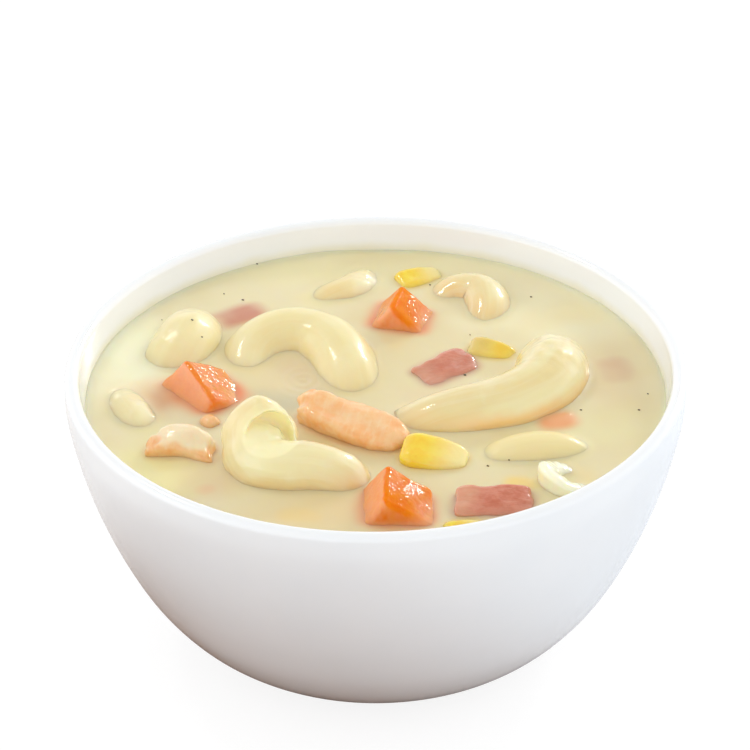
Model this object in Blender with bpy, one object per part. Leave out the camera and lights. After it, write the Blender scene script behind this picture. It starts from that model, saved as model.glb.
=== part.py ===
"""Bowl of chicken macaroni soup.

A small round-sided white bowl, filled with a creamy soup.  Elbow macaroni,
carrot cubes, corn kernels, pieces of ham and strips of chicken stand out of
the soup.  Each of them is its own closed solid, and the soup is one solid that
is cut round all of them.

Units in the tables below are millimetres; meshes are made in metres.
Origin: centre of the foot ring, on the surface the bowl stands on.
+Z is up, +X to the right, +Y away from the viewer.
"""
import math

import bmesh
import bpy
import numpy as np
from mathutils import Vector

# ---------------------------------------------------------------- dimensions
MM = 0.001
BOWL_RADIUS = 54.0          # outer radius of the rim
BOWL_HEIGHT = 52.5          # foot ring to the top of the rim
SOUP_LEVEL = 46.3           # height of the soup surface above the table
LIP_RADIUS = 1.3            # the rim is rolled to a full round
WALL_AT_RIM = 2.6           # wall just under the rounded rim
WALL_AT_SOUP = 3.4          # wall at the soup line and below it
WALL_AT_BASE = 4.2          # wall at the bottom of the bowl
FOOT_OUTER = 23.0           # foot ring, outer radius
FOOT_INNER = 19.5           # foot ring, inner radius
FOOT_RECESS = 1.6           # hollow inside the foot ring
GAP = 0.3                   # space left between two pieces that touch
BOWL_SIDES = 40             # segments round the bowl
TUBE_SIDES = 10             # segments round a macaroni
MACARONI_BORE = 2.6         # radius of its hole

# outer side of the bowl: fraction of BOWL_RADIUS against depth below the rim
OUTER_SIDE = (
    (1.000, 0.026), (0.998, 0.100), (0.973, 0.240), (0.932, 0.390), (0.866, 0.564),
    (0.790, 0.713), (0.695, 0.836), (0.590, 0.919), (0.515, 0.945), (0.450, 0.954),
)


# ------------------------------------------------------------------- helpers
def material(name, colour, roughness, metallic=0.0):
    """A plain principled material with the colour of the real piece."""
    mat = bpy.data.materials.new(name)
    mat.use_nodes = True
    shader = mat.node_tree.nodes["Principled BSDF"]
    shader.inputs["Base Color"].default_value = (*colour, 1.0)
    shader.inputs["Roughness"].default_value = roughness
    shader.inputs["Metallic"].default_value = metallic
    mat.diffuse_color = (*colour, 1.0)
    return mat


def add_object(name, verts, faces, mat, sharp_deg=35.0):
    """Make one named object from points in millimetres."""
    mesh = bpy.data.meshes.new(name)
    mesh.from_pydata([tuple(float(c) * MM for c in v) for v in verts], [], faces)
    mesh.materials.append(mat)
    bm = bmesh.new()
    bm.from_mesh(mesh)
    bmesh.ops.recalc_face_normals(bm, faces=bm.faces)
    bmesh.ops.triangulate(bm, faces=[f for f in bm.faces if len(f.verts) > 4])
    bm.to_mesh(mesh)
    bm.free()
    mesh.shade_smooth()
    mesh.set_sharp_from_angle(angle=math.radians(sharp_deg))
    ob = bpy.data.objects.new(name, mesh)
    bpy.context.scene.collection.objects.link(ob)
    return ob


def smooth_curve(points, count):
    """Centripetal Catmull-Rom curve through points, at count even steps."""
    p = [np.array(q, float) for q in points]
    p = [2 * p[0] - p[1]] + p + [2 * p[-1] - p[-2]]
    dense = []
    for i in range(1, len(p) - 2):
        a, b, c, d = p[i - 1:i + 3]
        t0 = 0.0
        t1 = t0 + math.sqrt(np.linalg.norm(b - a))
        t2 = t1 + math.sqrt(np.linalg.norm(c - b))
        t3 = t2 + math.sqrt(np.linalg.norm(d - c))
        for s in np.linspace(0.0, 1.0, 24, endpoint=False):
            t = t1 + s * (t2 - t1)
            a1 = (t1 - t) / (t1 - t0) * a + (t - t0) / (t1 - t0) * b
            a2 = (t2 - t) / (t2 - t1) * b + (t - t1) / (t2 - t1) * c
            a3 = (t3 - t) / (t3 - t2) * c + (t - t2) / (t3 - t2) * d
            b1 = (t2 - t) / (t2 - t0) * a1 + (t - t0) / (t2 - t0) * a2
            b2 = (t3 - t) / (t3 - t1) * a2 + (t - t1) / (t3 - t1) * a3
            dense.append((t2 - t) / (t2 - t1) * b1 + (t - t1) / (t2 - t1) * b2)
    dense.append(p[-2])
    dense = np.array(dense)
    run = np.concatenate([[0.0], np.cumsum(np.linalg.norm(np.diff(dense, axis=0), axis=1))])
    want = np.linspace(0.0, run[-1], count)
    return np.stack([np.interp(want, run, dense[:, k]) for k in range(3)], axis=1)


def frames_along(line):
    """Tangent, side and up vectors along a line, without twist."""
    tangent = np.gradient(line, axis=0)
    tangent /= np.linalg.norm(tangent, axis=1)[:, None]
    up = np.array([0.0, 0.0, 1.0])
    side = np.cross(tangent[0], up)
    side /= np.linalg.norm(side)
    sides, ups = [], []
    for t in tangent:
        side = side - t * side.dot(t)
        side /= np.linalg.norm(side)
        sides.append(side.copy())
        ups.append(np.cross(side, t))
    return tangent, np.array(sides), np.array(ups)


def tube(points, radius, rings, sides=TUBE_SIDES, bore=None, bore_depth=0.0, ends=(0, 0), cut=None, grow=0.0):
    """A bent tube with softly rounded cut ends.

    ends marks which end shows its open mouth (start, end); a mouth gets a
    hole of radius bore and depth bore_depth.  cut is the normal of a slanting
    cut at the start.  grow widens the whole piece.
    """
    if grow:                                     # a coarser tube that clears the piece all round
        grow += 0.2
        rings, sides = (rings if cut else max(5, round(rings * 0.75))), sides - 2
    line = smooth_curve(points, rings)
    tangent, side, up = frames_along(line)
    if grow:
        line = line.copy()
        line[0] -= tangent[0] * grow
        line[-1] += tangent[-1] * grow
    verts, faces, ring_ids = [], [], []
    normal = -tangent[0] if cut is None else np.array(cut) / np.linalg.norm(cut)
    slope = 0.0 if cut is None else 1.0

    def add_ring(centre, s, u, r, slant=0.0):
        start = len(verts)
        for k in range(sides):
            a = 2 * math.pi * k / sides
            off = r * (math.cos(a) * s + math.sin(a) * u)
            if slant:
                off = off - tangent[0] * slant * off.dot(normal) / tangent[0].dot(normal)
            verts.append(centre + off)
        ring_ids.append(start)

    def join(a, b):
        for k in range(sides):
            faces.append((a + k, a + (k + 1) % sides, b + (k + 1) % sides, b + k))

    def close(ring, centre):
        verts.append(centre)
        tip = len(verts) - 1
        for k in range(sides):
            faces.append((ring + k, ring + (k + 1) % sides, tip))

    r = (radius + grow) / math.cos(math.pi / sides) if grow else radius
    soft = 0.5                                   # rounding of the cut edges
    n = len(line)
    if ends[0] and not grow:
        add_ring(line[0] + tangent[0] * bore_depth, side[0], up[0], bore * 0.8)
        add_ring(line[0] + tangent[0] * soft, side[0], up[0], bore, slope)
    add_ring(line[0], side[0], up[0], r - (soft if not grow else 0.0), slope)
    for i in range(n):
        centre = line[i]
        if i == 0 and not grow:
            centre = centre + tangent[0] * soft
        if i == n - 1 and not grow:
            centre = centre - tangent[-1] * soft
        if grow and i in (0, n - 1):
            continue
        fade = max(0.0, 1.0 - np.linalg.norm(line[i] - line[0]) / 6.5)
        add_ring(centre, side[i], up[i], r, slope * fade)
    add_ring(line[-1], side[-1], up[-1], r - (soft if not grow else 0.0))
    if ends[1] and not grow:
        add_ring(line[-1] - tangent[-1] * soft, side[-1], up[-1], bore)
        add_ring(line[-1] - tangent[-1] * bore_depth, side[-1], up[-1], bore * 0.8)
    for a, b in zip(ring_ids[:-1], ring_ids[1:]):
        join(a, b)
    first = line[0] + tangent[0] * (bore_depth if ends[0] and not grow else 0.0)
    last = line[-1] - tangent[-1] * (bore_depth if ends[1] and not grow else 0.0)
    close(ring_ids[0], first)
    close(ring_ids[-1], last)
    return verts, faces


def turn(heading, pitch, roll):
    """Rotation matrix: roll about X, then pitch about Y, then heading about Z (degrees)."""
    h, p, r = (math.radians(v) for v in (heading, pitch, roll))
    rx = np.array([[1, 0, 0], [0, math.cos(r), -math.sin(r)], [0, math.sin(r), math.cos(r)]])
    ry = np.array([[math.cos(p), 0, math.sin(p)], [0, 1, 0], [-math.sin(p), 0, math.cos(p)]])
    rz = np.array([[math.cos(h), -math.sin(h), 0], [math.sin(h), math.cos(h), 0], [0, 0, 1]])
    return rz @ ry @ rx


def rounded_block(size, rounding, steps, shape=None, grow=0.0):
    """A box with rounded edges; shape(x, y, z) moves a point of the unit block."""
    if grow:                                     # clears the piece all round
        grow += 0.15
    marks = [-1.0] + list(np.linspace(-1.0 + rounding, 1.0 - rounding, steps)) + [1.0]
    n = len(marks)
    verts, index, faces = [], {}, []

    def vertex(i, j, k):
        key = (i, j, k)
        if key not in index:
            c = np.array([marks[i], marks[j], marks[k]])
            core = np.clip(c, -1.0 + rounding, 1.0 - rounding)
            off = c - core
            length = np.linalg.norm(off)
            p = core + (off / length * rounding if length > 1e-9 else off)
            if shape is not None:
                p = np.array(shape(*p))
            q = p * np.array(size) / 2.0
            if grow:
                q = q * (1.0 + 2.0 * grow / np.array(size))
            index[key] = len(verts)
            verts.append(q)
        return index[key]

    last = n - 1
    for a in range(last):
        for b in range(last):
            for face in (((0, a, b), (0, a, b + 1), (0, a + 1, b + 1), (0, a + 1, b)),
                         ((last, a, b), (last, a + 1, b), (last, a + 1, b + 1), (last, a, b + 1)),
                         ((a, 0, b), (a + 1, 0, b), (a + 1, 0, b + 1), (a, 0, b + 1)),
                         ((a, last, b), (a, last, b + 1), (a + 1, last, b + 1), (a + 1, last, b)),
                         ((a, b, 0), (a, b + 1, 0), (a + 1, b + 1, 0), (a + 1, b, 0)),
                         ((a, b, last), (a + 1, b, last), (a + 1, b + 1, last), (a, b + 1, last))):
                faces.append(tuple(vertex(*v) for v in face))
    return verts, faces


def place(verts, centre, rotation):
    return [rotation @ v + np.array(centre) for v in verts]


def lathe(profile, sides):
    """Turn a profile of (radius, height) about Z; it starts and ends on the axis."""
    verts, faces, rings = [], [], []
    for r, z in profile:
        if r < 1e-6:
            rings.append(("pole", len(verts)))
            verts.append(np.array([0.0, 0.0, z]))
        else:
            rings.append(("ring", len(verts)))
            for k in range(sides):
                a = 2 * math.pi * k / sides
                verts.append(np.array([r * math.cos(a), r * math.sin(a), z]))
    for (kind_a, a), (kind_b, b) in zip(rings[:-1], rings[1:]):
        for k in range(sides):
            k2 = (k + 1) % sides
            if kind_a == "pole":
                faces.append((a, b + k2, b + k))
            elif kind_b == "pole":
                faces.append((a + k, a + k2, b))
            else:
                faces.append((a + k, a + k2, b + k2, b + k))
    return verts, faces


# ---------------------------------------------------------------------- bowl
def outer_profile():
    return [(r * BOWL_RADIUS, BOWL_HEIGHT - d * BOWL_RADIUS) for r, d in OUTER_SIDE]


def wall(z):
    """Wall thickness at height z."""
    return float(np.interp(z, [0.0, 12.0, SOUP_LEVEL, BOWL_HEIGHT - 2.0],
                           [WALL_AT_BASE, WALL_AT_SOUP, WALL_AT_SOUP, WALL_AT_RIM]))


def inner_profile(extra=0.0):
    """Inner side of the bowl from the rim down to the axis, offset inwards by the wall."""
    side = outer_profile()[1:]
    points = []
    for i, (r, z) in enumerate(side):
        a = side[max(i - 1, 0)]
        b = side[min(i + 1, len(side) - 1)]
        t = np.array([b[0] - a[0], b[1] - a[1]])
        t /= np.linalg.norm(t)
        normal = np.array([t[1], -t[0]])              # points towards the axis
        if normal[0] > 0:
            normal = -normal
        w = wall(z) + extra
        points.append((r + normal[0] * w, z + normal[1] * w))
    floor = points[-1][1] - 0.55
    points.append((points[-1][0] * 0.62, floor))
    points.append((points[-2][0] * 0.30, floor - 0.1))
    points.append((0.0, floor - 0.12))
    return points


def make_bowl(mat):
    lip_centre_r = BOWL_RADIUS - LIP_RADIUS
    lip_z = BOWL_HEIGHT - LIP_RADIUS
    profile = [(0.0, FOOT_RECESS), (FOOT_INNER - 1.2, FOOT_RECESS), (FOOT_INNER, 0.5), (FOOT_INNER + 0.5, 0.0),
               (FOOT_OUTER - 0.5, 0.0), (FOOT_OUTER, 0.5), (FOOT_OUTER + 0.5, 1.0)]
    profile += list(reversed(outer_profile()[1:]))
    for deg in (0, 40, 80, 120, 180):
        a = math.radians(deg)
        profile.append((lip_centre_r + LIP_RADIUS * math.cos(a), lip_z + LIP_RADIUS * math.sin(a)))
    profile += inner_profile()
    verts, faces = lathe(profile, BOWL_SIDES)
    return add_object("bowl", verts, faces, mat)


# ---------------------------------------------------------------------- soup
def make_soup(mat):
    inner = inner_profile(extra=GAP)
    r = [q[0] for q in inner]
    z = [q[1] for q in inner]
    top_r = float(np.interp(-SOUP_LEVEL, [-q for q in z], r))
    profile = [(0.0, SOUP_LEVEL), (top_r * 0.5, SOUP_LEVEL), (top_r, SOUP_LEVEL)]
    profile += [q for q in inner if q[1] < SOUP_LEVEL - 1.0]
    verts, faces = lathe(profile, BOWL_SIDES)
    return add_object("soup", verts, faces, mat)


# ------------------------------------------------------------ pieces of food
# Macaroni: points of the middle line; z is measured from the soup level.
MACARONI = {
    # a bend that stands up out of the soup, at the left, behind the carrot
    "macaroni_1": dict(line=((-32.6, 24.8, -6.0), (-33.0, 21.4, -2.2), (-33.8, 17.6, -0.7), (-35.4, 14.0, -2.2),
                             (-37.0, 11.6, -5.2)), radius=6.0, rings=8),
    # the largest elbow, lying on its side, with its bend to the back
    "macaroni_2": dict(line=((-20.8, 6.0, -8.8), (-22.4, 11.6, -5.4), (-20.9, 17.0, -2.7), (-16.2, 19.6, -1.3),
                             (-10.7, 18.3, -1.1), (-6.8, 13.5, -1.2), (-4.8, 7.4, -2.6), (-3.8, 1.8, -6.2)),
                       radius=6.2, rings=14),
    # a curled elbow at the front left; its torn left end stands up like a hood, open toward the viewer
    "macaroni_3": dict(line=((-22.0, -22.4, 0.6), (-19.6, -25.4, 1.2), (-15.0, -26.4, 1.2), (-11.2, -26.3, 1.1),
                             (-6.4, -26.8, -0.6), (-3.8, -27.6, -4.4)),
                       radius=5.0, rings=8, hood=((-19.8, -20.6, 4.5), (6.4, 6.4, 7.4)),
                       hollow=((-17.6, -24.2, 6.1), (4.5, 4.5, 4.6))),
    # the long elbow on the right; its far end stands up
    "macaroni_4": dict(line=((5.8, -8.4, -4.8), (11.2, -8.0, -2.2), (17.6, -7.2, -0.8), (23.8, -5.2, -0.1),
                             (28.8, -1.2, 0.4), (31.0, 4.0, 0.4), (31.2, 9.2, -1.2)), radius=6.0, rings=12),
    # front right: the back of a sunk elbow
    "macaroni_5": dict(line=((18.8, -21.0, -5.6), (21.8, -19.8, -3.0), (26.6, -18.7, -2.1), (31.4, -18.3, -2.7),
                             (35.2, -18.8, -5.2)), radius=4.6, rings=8),
    # front right: an elbow end that points up, with its open mouth just out of the soup
    "macaroni_6": dict(line=((33.2, -28.4, 1.0), (33.0, -28.4, -1.8), (31.2, -28.8, -5.4), (28.0, -29.4, -8.6)),
                       radius=5.0, rings=7, mouth=(1, 0), cut=(0.45, 0.20, 0.87)),
    # at the left wall, partly sunk
    "macaroni_7": dict(line=((-43.4, 3.4, -6.0), (-44.0, -0.6, -3.4), (-42.9, -4.4, -2.6), (-41.0, -8.0, -2.9),
                             (-39.6, -10.6, -4.8)), radius=4.4, rings=8),
    # at the back, left of the middle
    "macaroni_8": dict(line=((-12.4, 31.4, -5.6), (-8.6, 34.4, -3.4), (-4.4, 36.4, -2.4), (-2.4, 40.2, -3.4),
                             (-3.4, 43.2, -6.0)), radius=4.6, rings=8),
    # at the back, right of the middle
    "macaroni_9": dict(line=((11.8, 34.0, -4.8), (15.4, 36.2, -2.4), (19.4, 34.8, -1.6), (20.8, 29.8, -2.0),
                             (19.6, 24.4, -4.8)), radius=4.6, rings=10),
}


def ball(centre, radii, power=2.0, rows=6, sides=10, grow=0.0):
    """A closed lump; a power under 2 makes its ends more pointed."""
    verts, faces = [], []
    for i in range(1, rows):
        lat = math.pi * i / rows
        for j in range(sides):
            lon = 2.0 * math.pi * (j + 0.5 * (i % 2)) / sides
            d = np.array([math.sin(lat) * math.cos(lon), math.sin(lat) * math.sin(lon), math.cos(lat)])
            verts.append(d / (np.abs(d) ** power).sum() ** (1.0 / power))
    verts += [np.array([0.0, 0.0, 1.0]), np.array([0.0, 0.0, -1.0])]
    verts = [v * (np.array(radii) + grow) + np.array(centre) for v in verts]
    n = (rows - 1) * sides
    for i in range(rows - 2):
        shift = i % 2
        for j in range(sides):
            k = (j + 1) % sides
            a, b, c, d = i * sides + j, i * sides + k, (i + 1) * sides + j, (i + 1) * sides + k
            # row i is turned by half a step when i + 1 is odd
            faces += [(a, c, b), (b, c, d)] if not shift else [(a, c, d), (a, d, b)]
    for j in range(sides):
        k = (j + 1) % sides
        faces.append((n, j, k))
        faces.append((n + 1, (rows - 2) * sides + k, (rows - 2) * sides + j))
    return verts, faces


def raised(point):
    """A point measured from the soup level, measured from the table instead."""
    return (point[0], point[1], point[2] + SOUP_LEVEL)


def carrot_shape(x, y, z):
    """Hand-cut cube: the faces are not quite square to each other."""
    return (x * (1.0 - 0.10 * z) + 0.10 * y, y * (1.0 + 0.08 * x), z * (1.0 + 0.07 * x - 0.06 * y))


def kernel_shape(x, y, z):
    """Corn kernel: broad crown at -x, narrow root at +x, dimpled top."""
    width = 1.0 - 0.22 * max(x, 0.0) ** 1.5 - 0.10 * (x + 1.0) * 0.5
    dimple = -0.10 * math.exp(-6.0 * ((x + 0.3) ** 2 + y * y)) if z > 0 else 0.0
    return (x, y * width, z * (0.92 + 0.10 * (1.0 - x) * 0.5) + dimple)


def ham_shape(x, y, z):
    """A torn flat piece with an uneven outline."""
    a = math.atan2(y, x)
    k = 1.0 + 0.07 * math.sin(3 * a + 0.6) + 0.05 * math.sin(5 * a + 2.0)
    return (x * k, y * k, z * (1.0 + 0.12 * math.sin(2.6 * x + 1.0)) + 0.10 * x * x)


def strip_shape(x, y, z):
    """A strip of chicken: broken left end, long fibres with shallow grooves."""
    groove = 0.07 * math.sin(7.0 * y + 1.5 * x + 0.5)
    width = 1.0 + 0.10 * math.sin(3.0 * x + 0.8) - 0.16 * max(x, 0.0) ** 2
    return (x * (1.0 + 0.05 * math.sin(4.0 * y + 1.0)), y * width, z * (1.0 - 0.12 * y) + groove)


def lump_shape(x, y, z):
    """A rounded lump of chicken, torn at one side."""
    k = 1.0 + 0.06 * math.sin(4.0 * x + 1.0) * math.cos(3.0 * y)
    return (x * k, y * (1.0 - 0.12 * x), z * (1.0 + 0.08 * math.sin(3.5 * y + 0.4)) * k)


# Blocks: centre (z from the soup level), size, heading/pitch/roll, rounding.
BLOCKS = {
    "carrot_1": dict(kind="carrot", centre=(-29.6, 0.5, -1.7), size=(12.0, 10.0, 8.8), turn=(-57, 22, -27),
                     rounding=0.20, steps=2, shape=carrot_shape),
    "carrot_2": dict(kind="carrot", centre=(4.8, 25.2, -1.1), size=(9.4, 8.8, 8.4), turn=(-104, 8, -38),
                     rounding=0.20, steps=2, shape=carrot_shape),
    "carrot_3": dict(kind="carrot", centre=(3.3, -36.5, -0.5), size=(10.2, 9.8, 8.8), turn=(-92, 14, -31),
                     rounding=0.20, steps=2, shape=carrot_shape),
    "corn_1": dict(kind="corn", centre=(9.8, -21.4, -0.2), size=(11.4, 7.6, 5.6), turn=(-12, 6, 16),
                   rounding=0.55, steps=3, shape=kernel_shape),
    "corn_2": dict(kind="corn", centre=(20.8, 13.6, -1.2), size=(8.6, 6.0, 4.8), turn=(-20, 4, 14),
                   rounding=0.55, steps=3, shape=kernel_shape),
    "corn_3": dict(kind="corn", centre=(8.2, 40.2, -1.2), size=(8.8, 6.0, 4.8), turn=(24, 0, 12),
                   rounding=0.55, steps=3, shape=kernel_shape),
    "corn_4": dict(kind="corn", centre=(14.3, -42.3, -1.6), size=(7.0, 5.0, 4.4), turn=(14, 0, 6),
                   rounding=0.55, steps=3, shape=kernel_shape),
    "ham_1": dict(kind="ham", centre=(19.2, -35.4, -0.8), size=(12.6, 7.2, 4.4), turn=(4, 4, 12),
                  rounding=0.30, steps=3, shape=ham_shape),
    "ham_2": dict(kind="ham", centre=(12.4, 7.8, -1.4), size=(11.6, 7.2, 4.0), turn=(38, 0, 8),
                  rounding=0.30, steps=3, shape=ham_shape),
    "chicken_1": dict(kind="chicken", centre=(-4.0, -12.2, 0.2), size=(20.6, 8.4, 7.0), turn=(-31, 6, 14),
                      rounding=0.40, steps=4, shape=strip_shape),
    "chicken_2": dict(kind="chicken", centre=(-32.9, -17.8, -0.8), size=(11.8, 7.2, 8.0), turn=(-8, 6, 8),
                      rounding=0.50, steps=3, shape=lump_shape),
}


def piece_mesh(name, grow=0.0):
    """Points and faces of one piece of food, in millimetres."""
    if name in MACARONI:
        m = MACARONI[name]
        line = [(x, y, z + SOUP_LEVEL) for x, y, z in m["line"]]
        if "hood" in m and grow:                 # the tube and the hood, filled in
            v, f = tube(line, m["radius"], m["rings"], grow=grow)
            centre, radii = m["hood"]
            w, g = ball(raised(centre), radii, 1.8, grow=grow + 0.35)
            return list(v) + list(w), list(f) + [tuple(i + len(v) for i in q) for q in g]
        return tube(line, m["radius"], m["rings"], bore=MACARONI_BORE, bore_depth=5.0,
                    ends=m.get("mouth", (0, 0)), cut=m.get("cut"), grow=grow)
    b = BLOCKS[name]
    steps = 2 if grow and b["kind"] == "corn" else b["steps"]
    verts, faces = rounded_block(b["size"], b["rounding"], steps, b["shape"], grow)
    x, y, z = b["centre"]
    return place(verts, (x, y, z + SOUP_LEVEL), turn(*b["turn"])), faces


def make_cutter(names, mat):
    """All the pieces, grown by the gap, as one cutter for the soup."""
    verts, faces = [], []
    for name in names:
        v, f = piece_mesh(name, grow=GAP)
        base = len(verts)
        verts += list(v)
        faces += [tuple(i + base for i in face) for face in f]
    ob = add_object("contents_cutter", verts, faces, mat)
    ob.hide_render = True
    ob.display_type = "WIRE"
    return ob


def make_hood(ob, spec, mat):
    """Join the hollowed hood to the tube of the piece."""
    centre, radii = spec["hood"]
    hood = add_object(ob.name + "_hood", *ball(raised(centre), radii, 1.8), mat)
    centre, radii = spec["hollow"]
    hollow = add_object(ob.name + "_hollow", *ball(raised(centre), radii, 2.0, rows=5, sides=8), mat)
    for tool, operation in ((hood, "UNION"), (hollow, "DIFFERENCE")):
        tool.hide_render = True
        tool.display_type = "WIRE"
    dig = hood.modifiers.new("dig_hollow", "BOOLEAN")
    dig.operation, dig.solver, dig.object = "DIFFERENCE", "EXACT", hollow
    join = ob.modifiers.new("join_hood", "BOOLEAN")
    join.operation, join.solver, join.object = "UNION", "EXACT", hood


def main():
    for ob in list(bpy.data.objects):
        bpy.data.objects.remove(ob, do_unlink=True)
    white = material("bowl_glaze", (0.86, 0.86, 0.85), 0.12)
    cream = material("soup_cream", (0.80, 0.74, 0.42), 0.25)
    pasta = material("macaroni", (0.84, 0.78, 0.48), 0.30)
    kinds = {
        "carrot": material("carrot", (0.87, 0.20, 0.06), 0.30),
        "corn": material("corn", (0.90, 0.58, 0.08), 0.28),
        "ham": material("ham", (0.58, 0.20, 0.14), 0.35),
        "chicken": material("chicken", (0.85, 0.52, 0.25), 0.40),
    }
    make_bowl(white)
    soup = make_soup(cream)
    for name in MACARONI:
        v, f = piece_mesh(name)
        ob = add_object(name, v, f, pasta)
        if "hood" in MACARONI[name]:
            make_hood(ob, MACARONI[name], pasta)
    for name, b in BLOCKS.items():
        v, f = piece_mesh(name)
        add_object(name, v, f, kinds[b["kind"]])
    cutter = make_cutter(list(MACARONI) + list(BLOCKS), cream)
    cut = soup.modifiers.new("cut_round_pieces", "BOOLEAN")
    cut.operation = "DIFFERENCE"
    cut.solver = "EXACT"
    cut.use_self = True
    cut.object = cutter


main()
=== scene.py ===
"""Bowl of chicken macaroni soup: the looks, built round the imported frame.

Tables are in millimetres; meshes are made in metres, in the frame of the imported
model (origin under the middle of the bowl, +Z up, +Y away from the viewer).
"""

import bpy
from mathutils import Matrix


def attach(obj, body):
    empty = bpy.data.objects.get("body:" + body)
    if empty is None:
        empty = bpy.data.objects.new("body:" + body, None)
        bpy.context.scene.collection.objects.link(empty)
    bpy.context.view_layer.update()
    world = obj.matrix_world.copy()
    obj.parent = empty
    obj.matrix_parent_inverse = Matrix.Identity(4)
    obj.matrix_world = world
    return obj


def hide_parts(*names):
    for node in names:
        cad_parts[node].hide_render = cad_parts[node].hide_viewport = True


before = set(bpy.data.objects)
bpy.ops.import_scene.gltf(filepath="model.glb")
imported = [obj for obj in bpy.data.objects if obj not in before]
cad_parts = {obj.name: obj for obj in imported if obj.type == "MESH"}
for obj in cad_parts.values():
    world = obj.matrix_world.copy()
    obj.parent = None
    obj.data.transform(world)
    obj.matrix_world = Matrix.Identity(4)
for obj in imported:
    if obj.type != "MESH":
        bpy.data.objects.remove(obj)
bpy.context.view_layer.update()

import math

import bpy
import numpy as np
from mathutils import Matrix, Vector
from mathutils.bvhtree import BVHTree

MM = 0.001
BOWL_RADIUS, BOWL_HEIGHT, SOUP_LEVEL = 54.0, 52.5, 46.3
LIP_RADIUS = 1.3
BORE = 2.6


# ----------------------------------------------------------------- numbers
def srgb(r, g, b):
    """Linear colour from 0-255 display values."""
    out = []
    for v in (r, g, b):
        v = v / 255.0
        out.append(v / 12.92 if v <= 0.04045 else ((v + 0.055) / 1.055) ** 2.4)
    return tuple(out)


def lattice(ix, iy, iz, seed):
    """A repeatable number from -1 to 1 for each lattice point."""
    h = (ix * 374761393 + iy * 668265263 + iz * 1274126177 + seed * 974711 + 12345) & 0xFFFFFFFF
    h = ((h ^ (h >> 13)) * 1103515245) & 0xFFFFFFFF
    h = ((h ^ (h >> 16)) * 1546822519) & 0xFFFFFFFF
    h = h ^ (h >> 15)
    return (h & 0xFFFFFF) / 8388607.5 - 1.0


def noise(p, size=1.0, seed=0):
    """Smooth noise from -1 to 1 at points p, with lumps about size across."""
    q = np.asarray(p, float) / size
    i = np.floor(q).astype(np.int64)
    f = q - i
    u = f * f * f * (f * (f * 6.0 - 15.0) + 10.0)
    out = np.zeros(q.shape[:-1])
    for dx in (0, 1):
        wx = u[..., 0] if dx else 1.0 - u[..., 0]
        for dy in (0, 1):
            wy = u[..., 1] if dy else 1.0 - u[..., 1]
            for dz in (0, 1):
                wz = u[..., 2] if dz else 1.0 - u[..., 2]
                out += wx * wy * wz * lattice(i[..., 0] + dx, i[..., 1] + dy, i[..., 2] + dz, seed)
    return out


def fbm(p, size, octaves=3, seed=0, gain=0.5):
    out, amp = 0.0, 1.0
    for k in range(octaves):
        out = out + amp * noise(p, size / 2.0 ** k, seed + 17 * k)
        amp *= gain
    return out


def step_up(x, low, high):
    """Smooth step from 0 at low to 1 at high."""
    t = np.clip((np.asarray(x, float) - low) / (high - low), 0.0, 1.0)
    return t * t * (3.0 - 2.0 * t)


def smooth_curve(points, count):
    """Centripetal Catmull-Rom curve through points, at count even steps."""
    p = [np.array(q, float) for q in points]
    p = [2 * p[0] - p[1]] + p + [2 * p[-1] - p[-2]]
    dense = []
    for i in range(1, len(p) - 2):
        a, b, c, d = p[i - 1:i + 3]
        t0 = 0.0
        t1 = t0 + math.sqrt(np.linalg.norm(b - a))
        t2 = t1 + math.sqrt(np.linalg.norm(c - b))
        t3 = t2 + math.sqrt(np.linalg.norm(d - c))
        for s in np.linspace(0.0, 1.0, 24, endpoint=False):
            t = t1 + s * (t2 - t1)
            a1 = (t1 - t) / (t1 - t0) * a + (t - t0) / (t1 - t0) * b
            a2 = (t2 - t) / (t2 - t1) * b + (t - t1) / (t2 - t1) * c
            a3 = (t3 - t) / (t3 - t2) * c + (t - t2) / (t3 - t2) * d
            b1 = (t2 - t) / (t2 - t0) * a1 + (t - t0) / (t2 - t0) * a2
            b2 = (t3 - t) / (t3 - t1) * a2 + (t - t1) / (t3 - t1) * a3
            dense.append((t2 - t) / (t2 - t1) * b1 + (t - t1) / (t2 - t1) * b2)
    dense.append(p[-2])
    dense = np.array(dense)
    run = np.concatenate([[0.0], np.cumsum(np.linalg.norm(np.diff(dense, axis=0), axis=1))])
    want = np.linspace(0.0, run[-1], count)
    return np.stack([np.interp(want, run, dense[:, k]) for k in range(dense.shape[1])], axis=1)


def frames_along(line):
    """Tangent, side and up vectors along a line, without twist."""
    tangent = np.gradient(line, axis=0)
    tangent /= np.linalg.norm(tangent, axis=1)[:, None]
    side = np.cross(tangent[0], (0.0, 0.0, 1.0))
    side /= np.linalg.norm(side)
    sides, ups = [], []
    for t in tangent:
        side = side - t * side.dot(t)
        side /= np.linalg.norm(side)
        sides.append(side.copy())
        ups.append(np.cross(side, t))
    return tangent, np.array(sides), np.array(ups)


def turn(heading, pitch, roll):
    """Rotation: roll about X, then pitch about Y, then heading about Z (degrees)."""
    h, p, r = (math.radians(v) for v in (heading, pitch, roll))
    rx = np.array([[1, 0, 0], [0, math.cos(r), -math.sin(r)], [0, math.sin(r), math.cos(r)]])
    ry = np.array([[math.cos(p), 0, math.sin(p)], [0, 1, 0], [-math.sin(p), 0, math.cos(p)]])
    rz = np.array([[math.cos(h), -math.sin(h), 0], [math.sin(h), math.cos(h), 0], [0, 0, 1]])
    return rz @ ry @ rx


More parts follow.
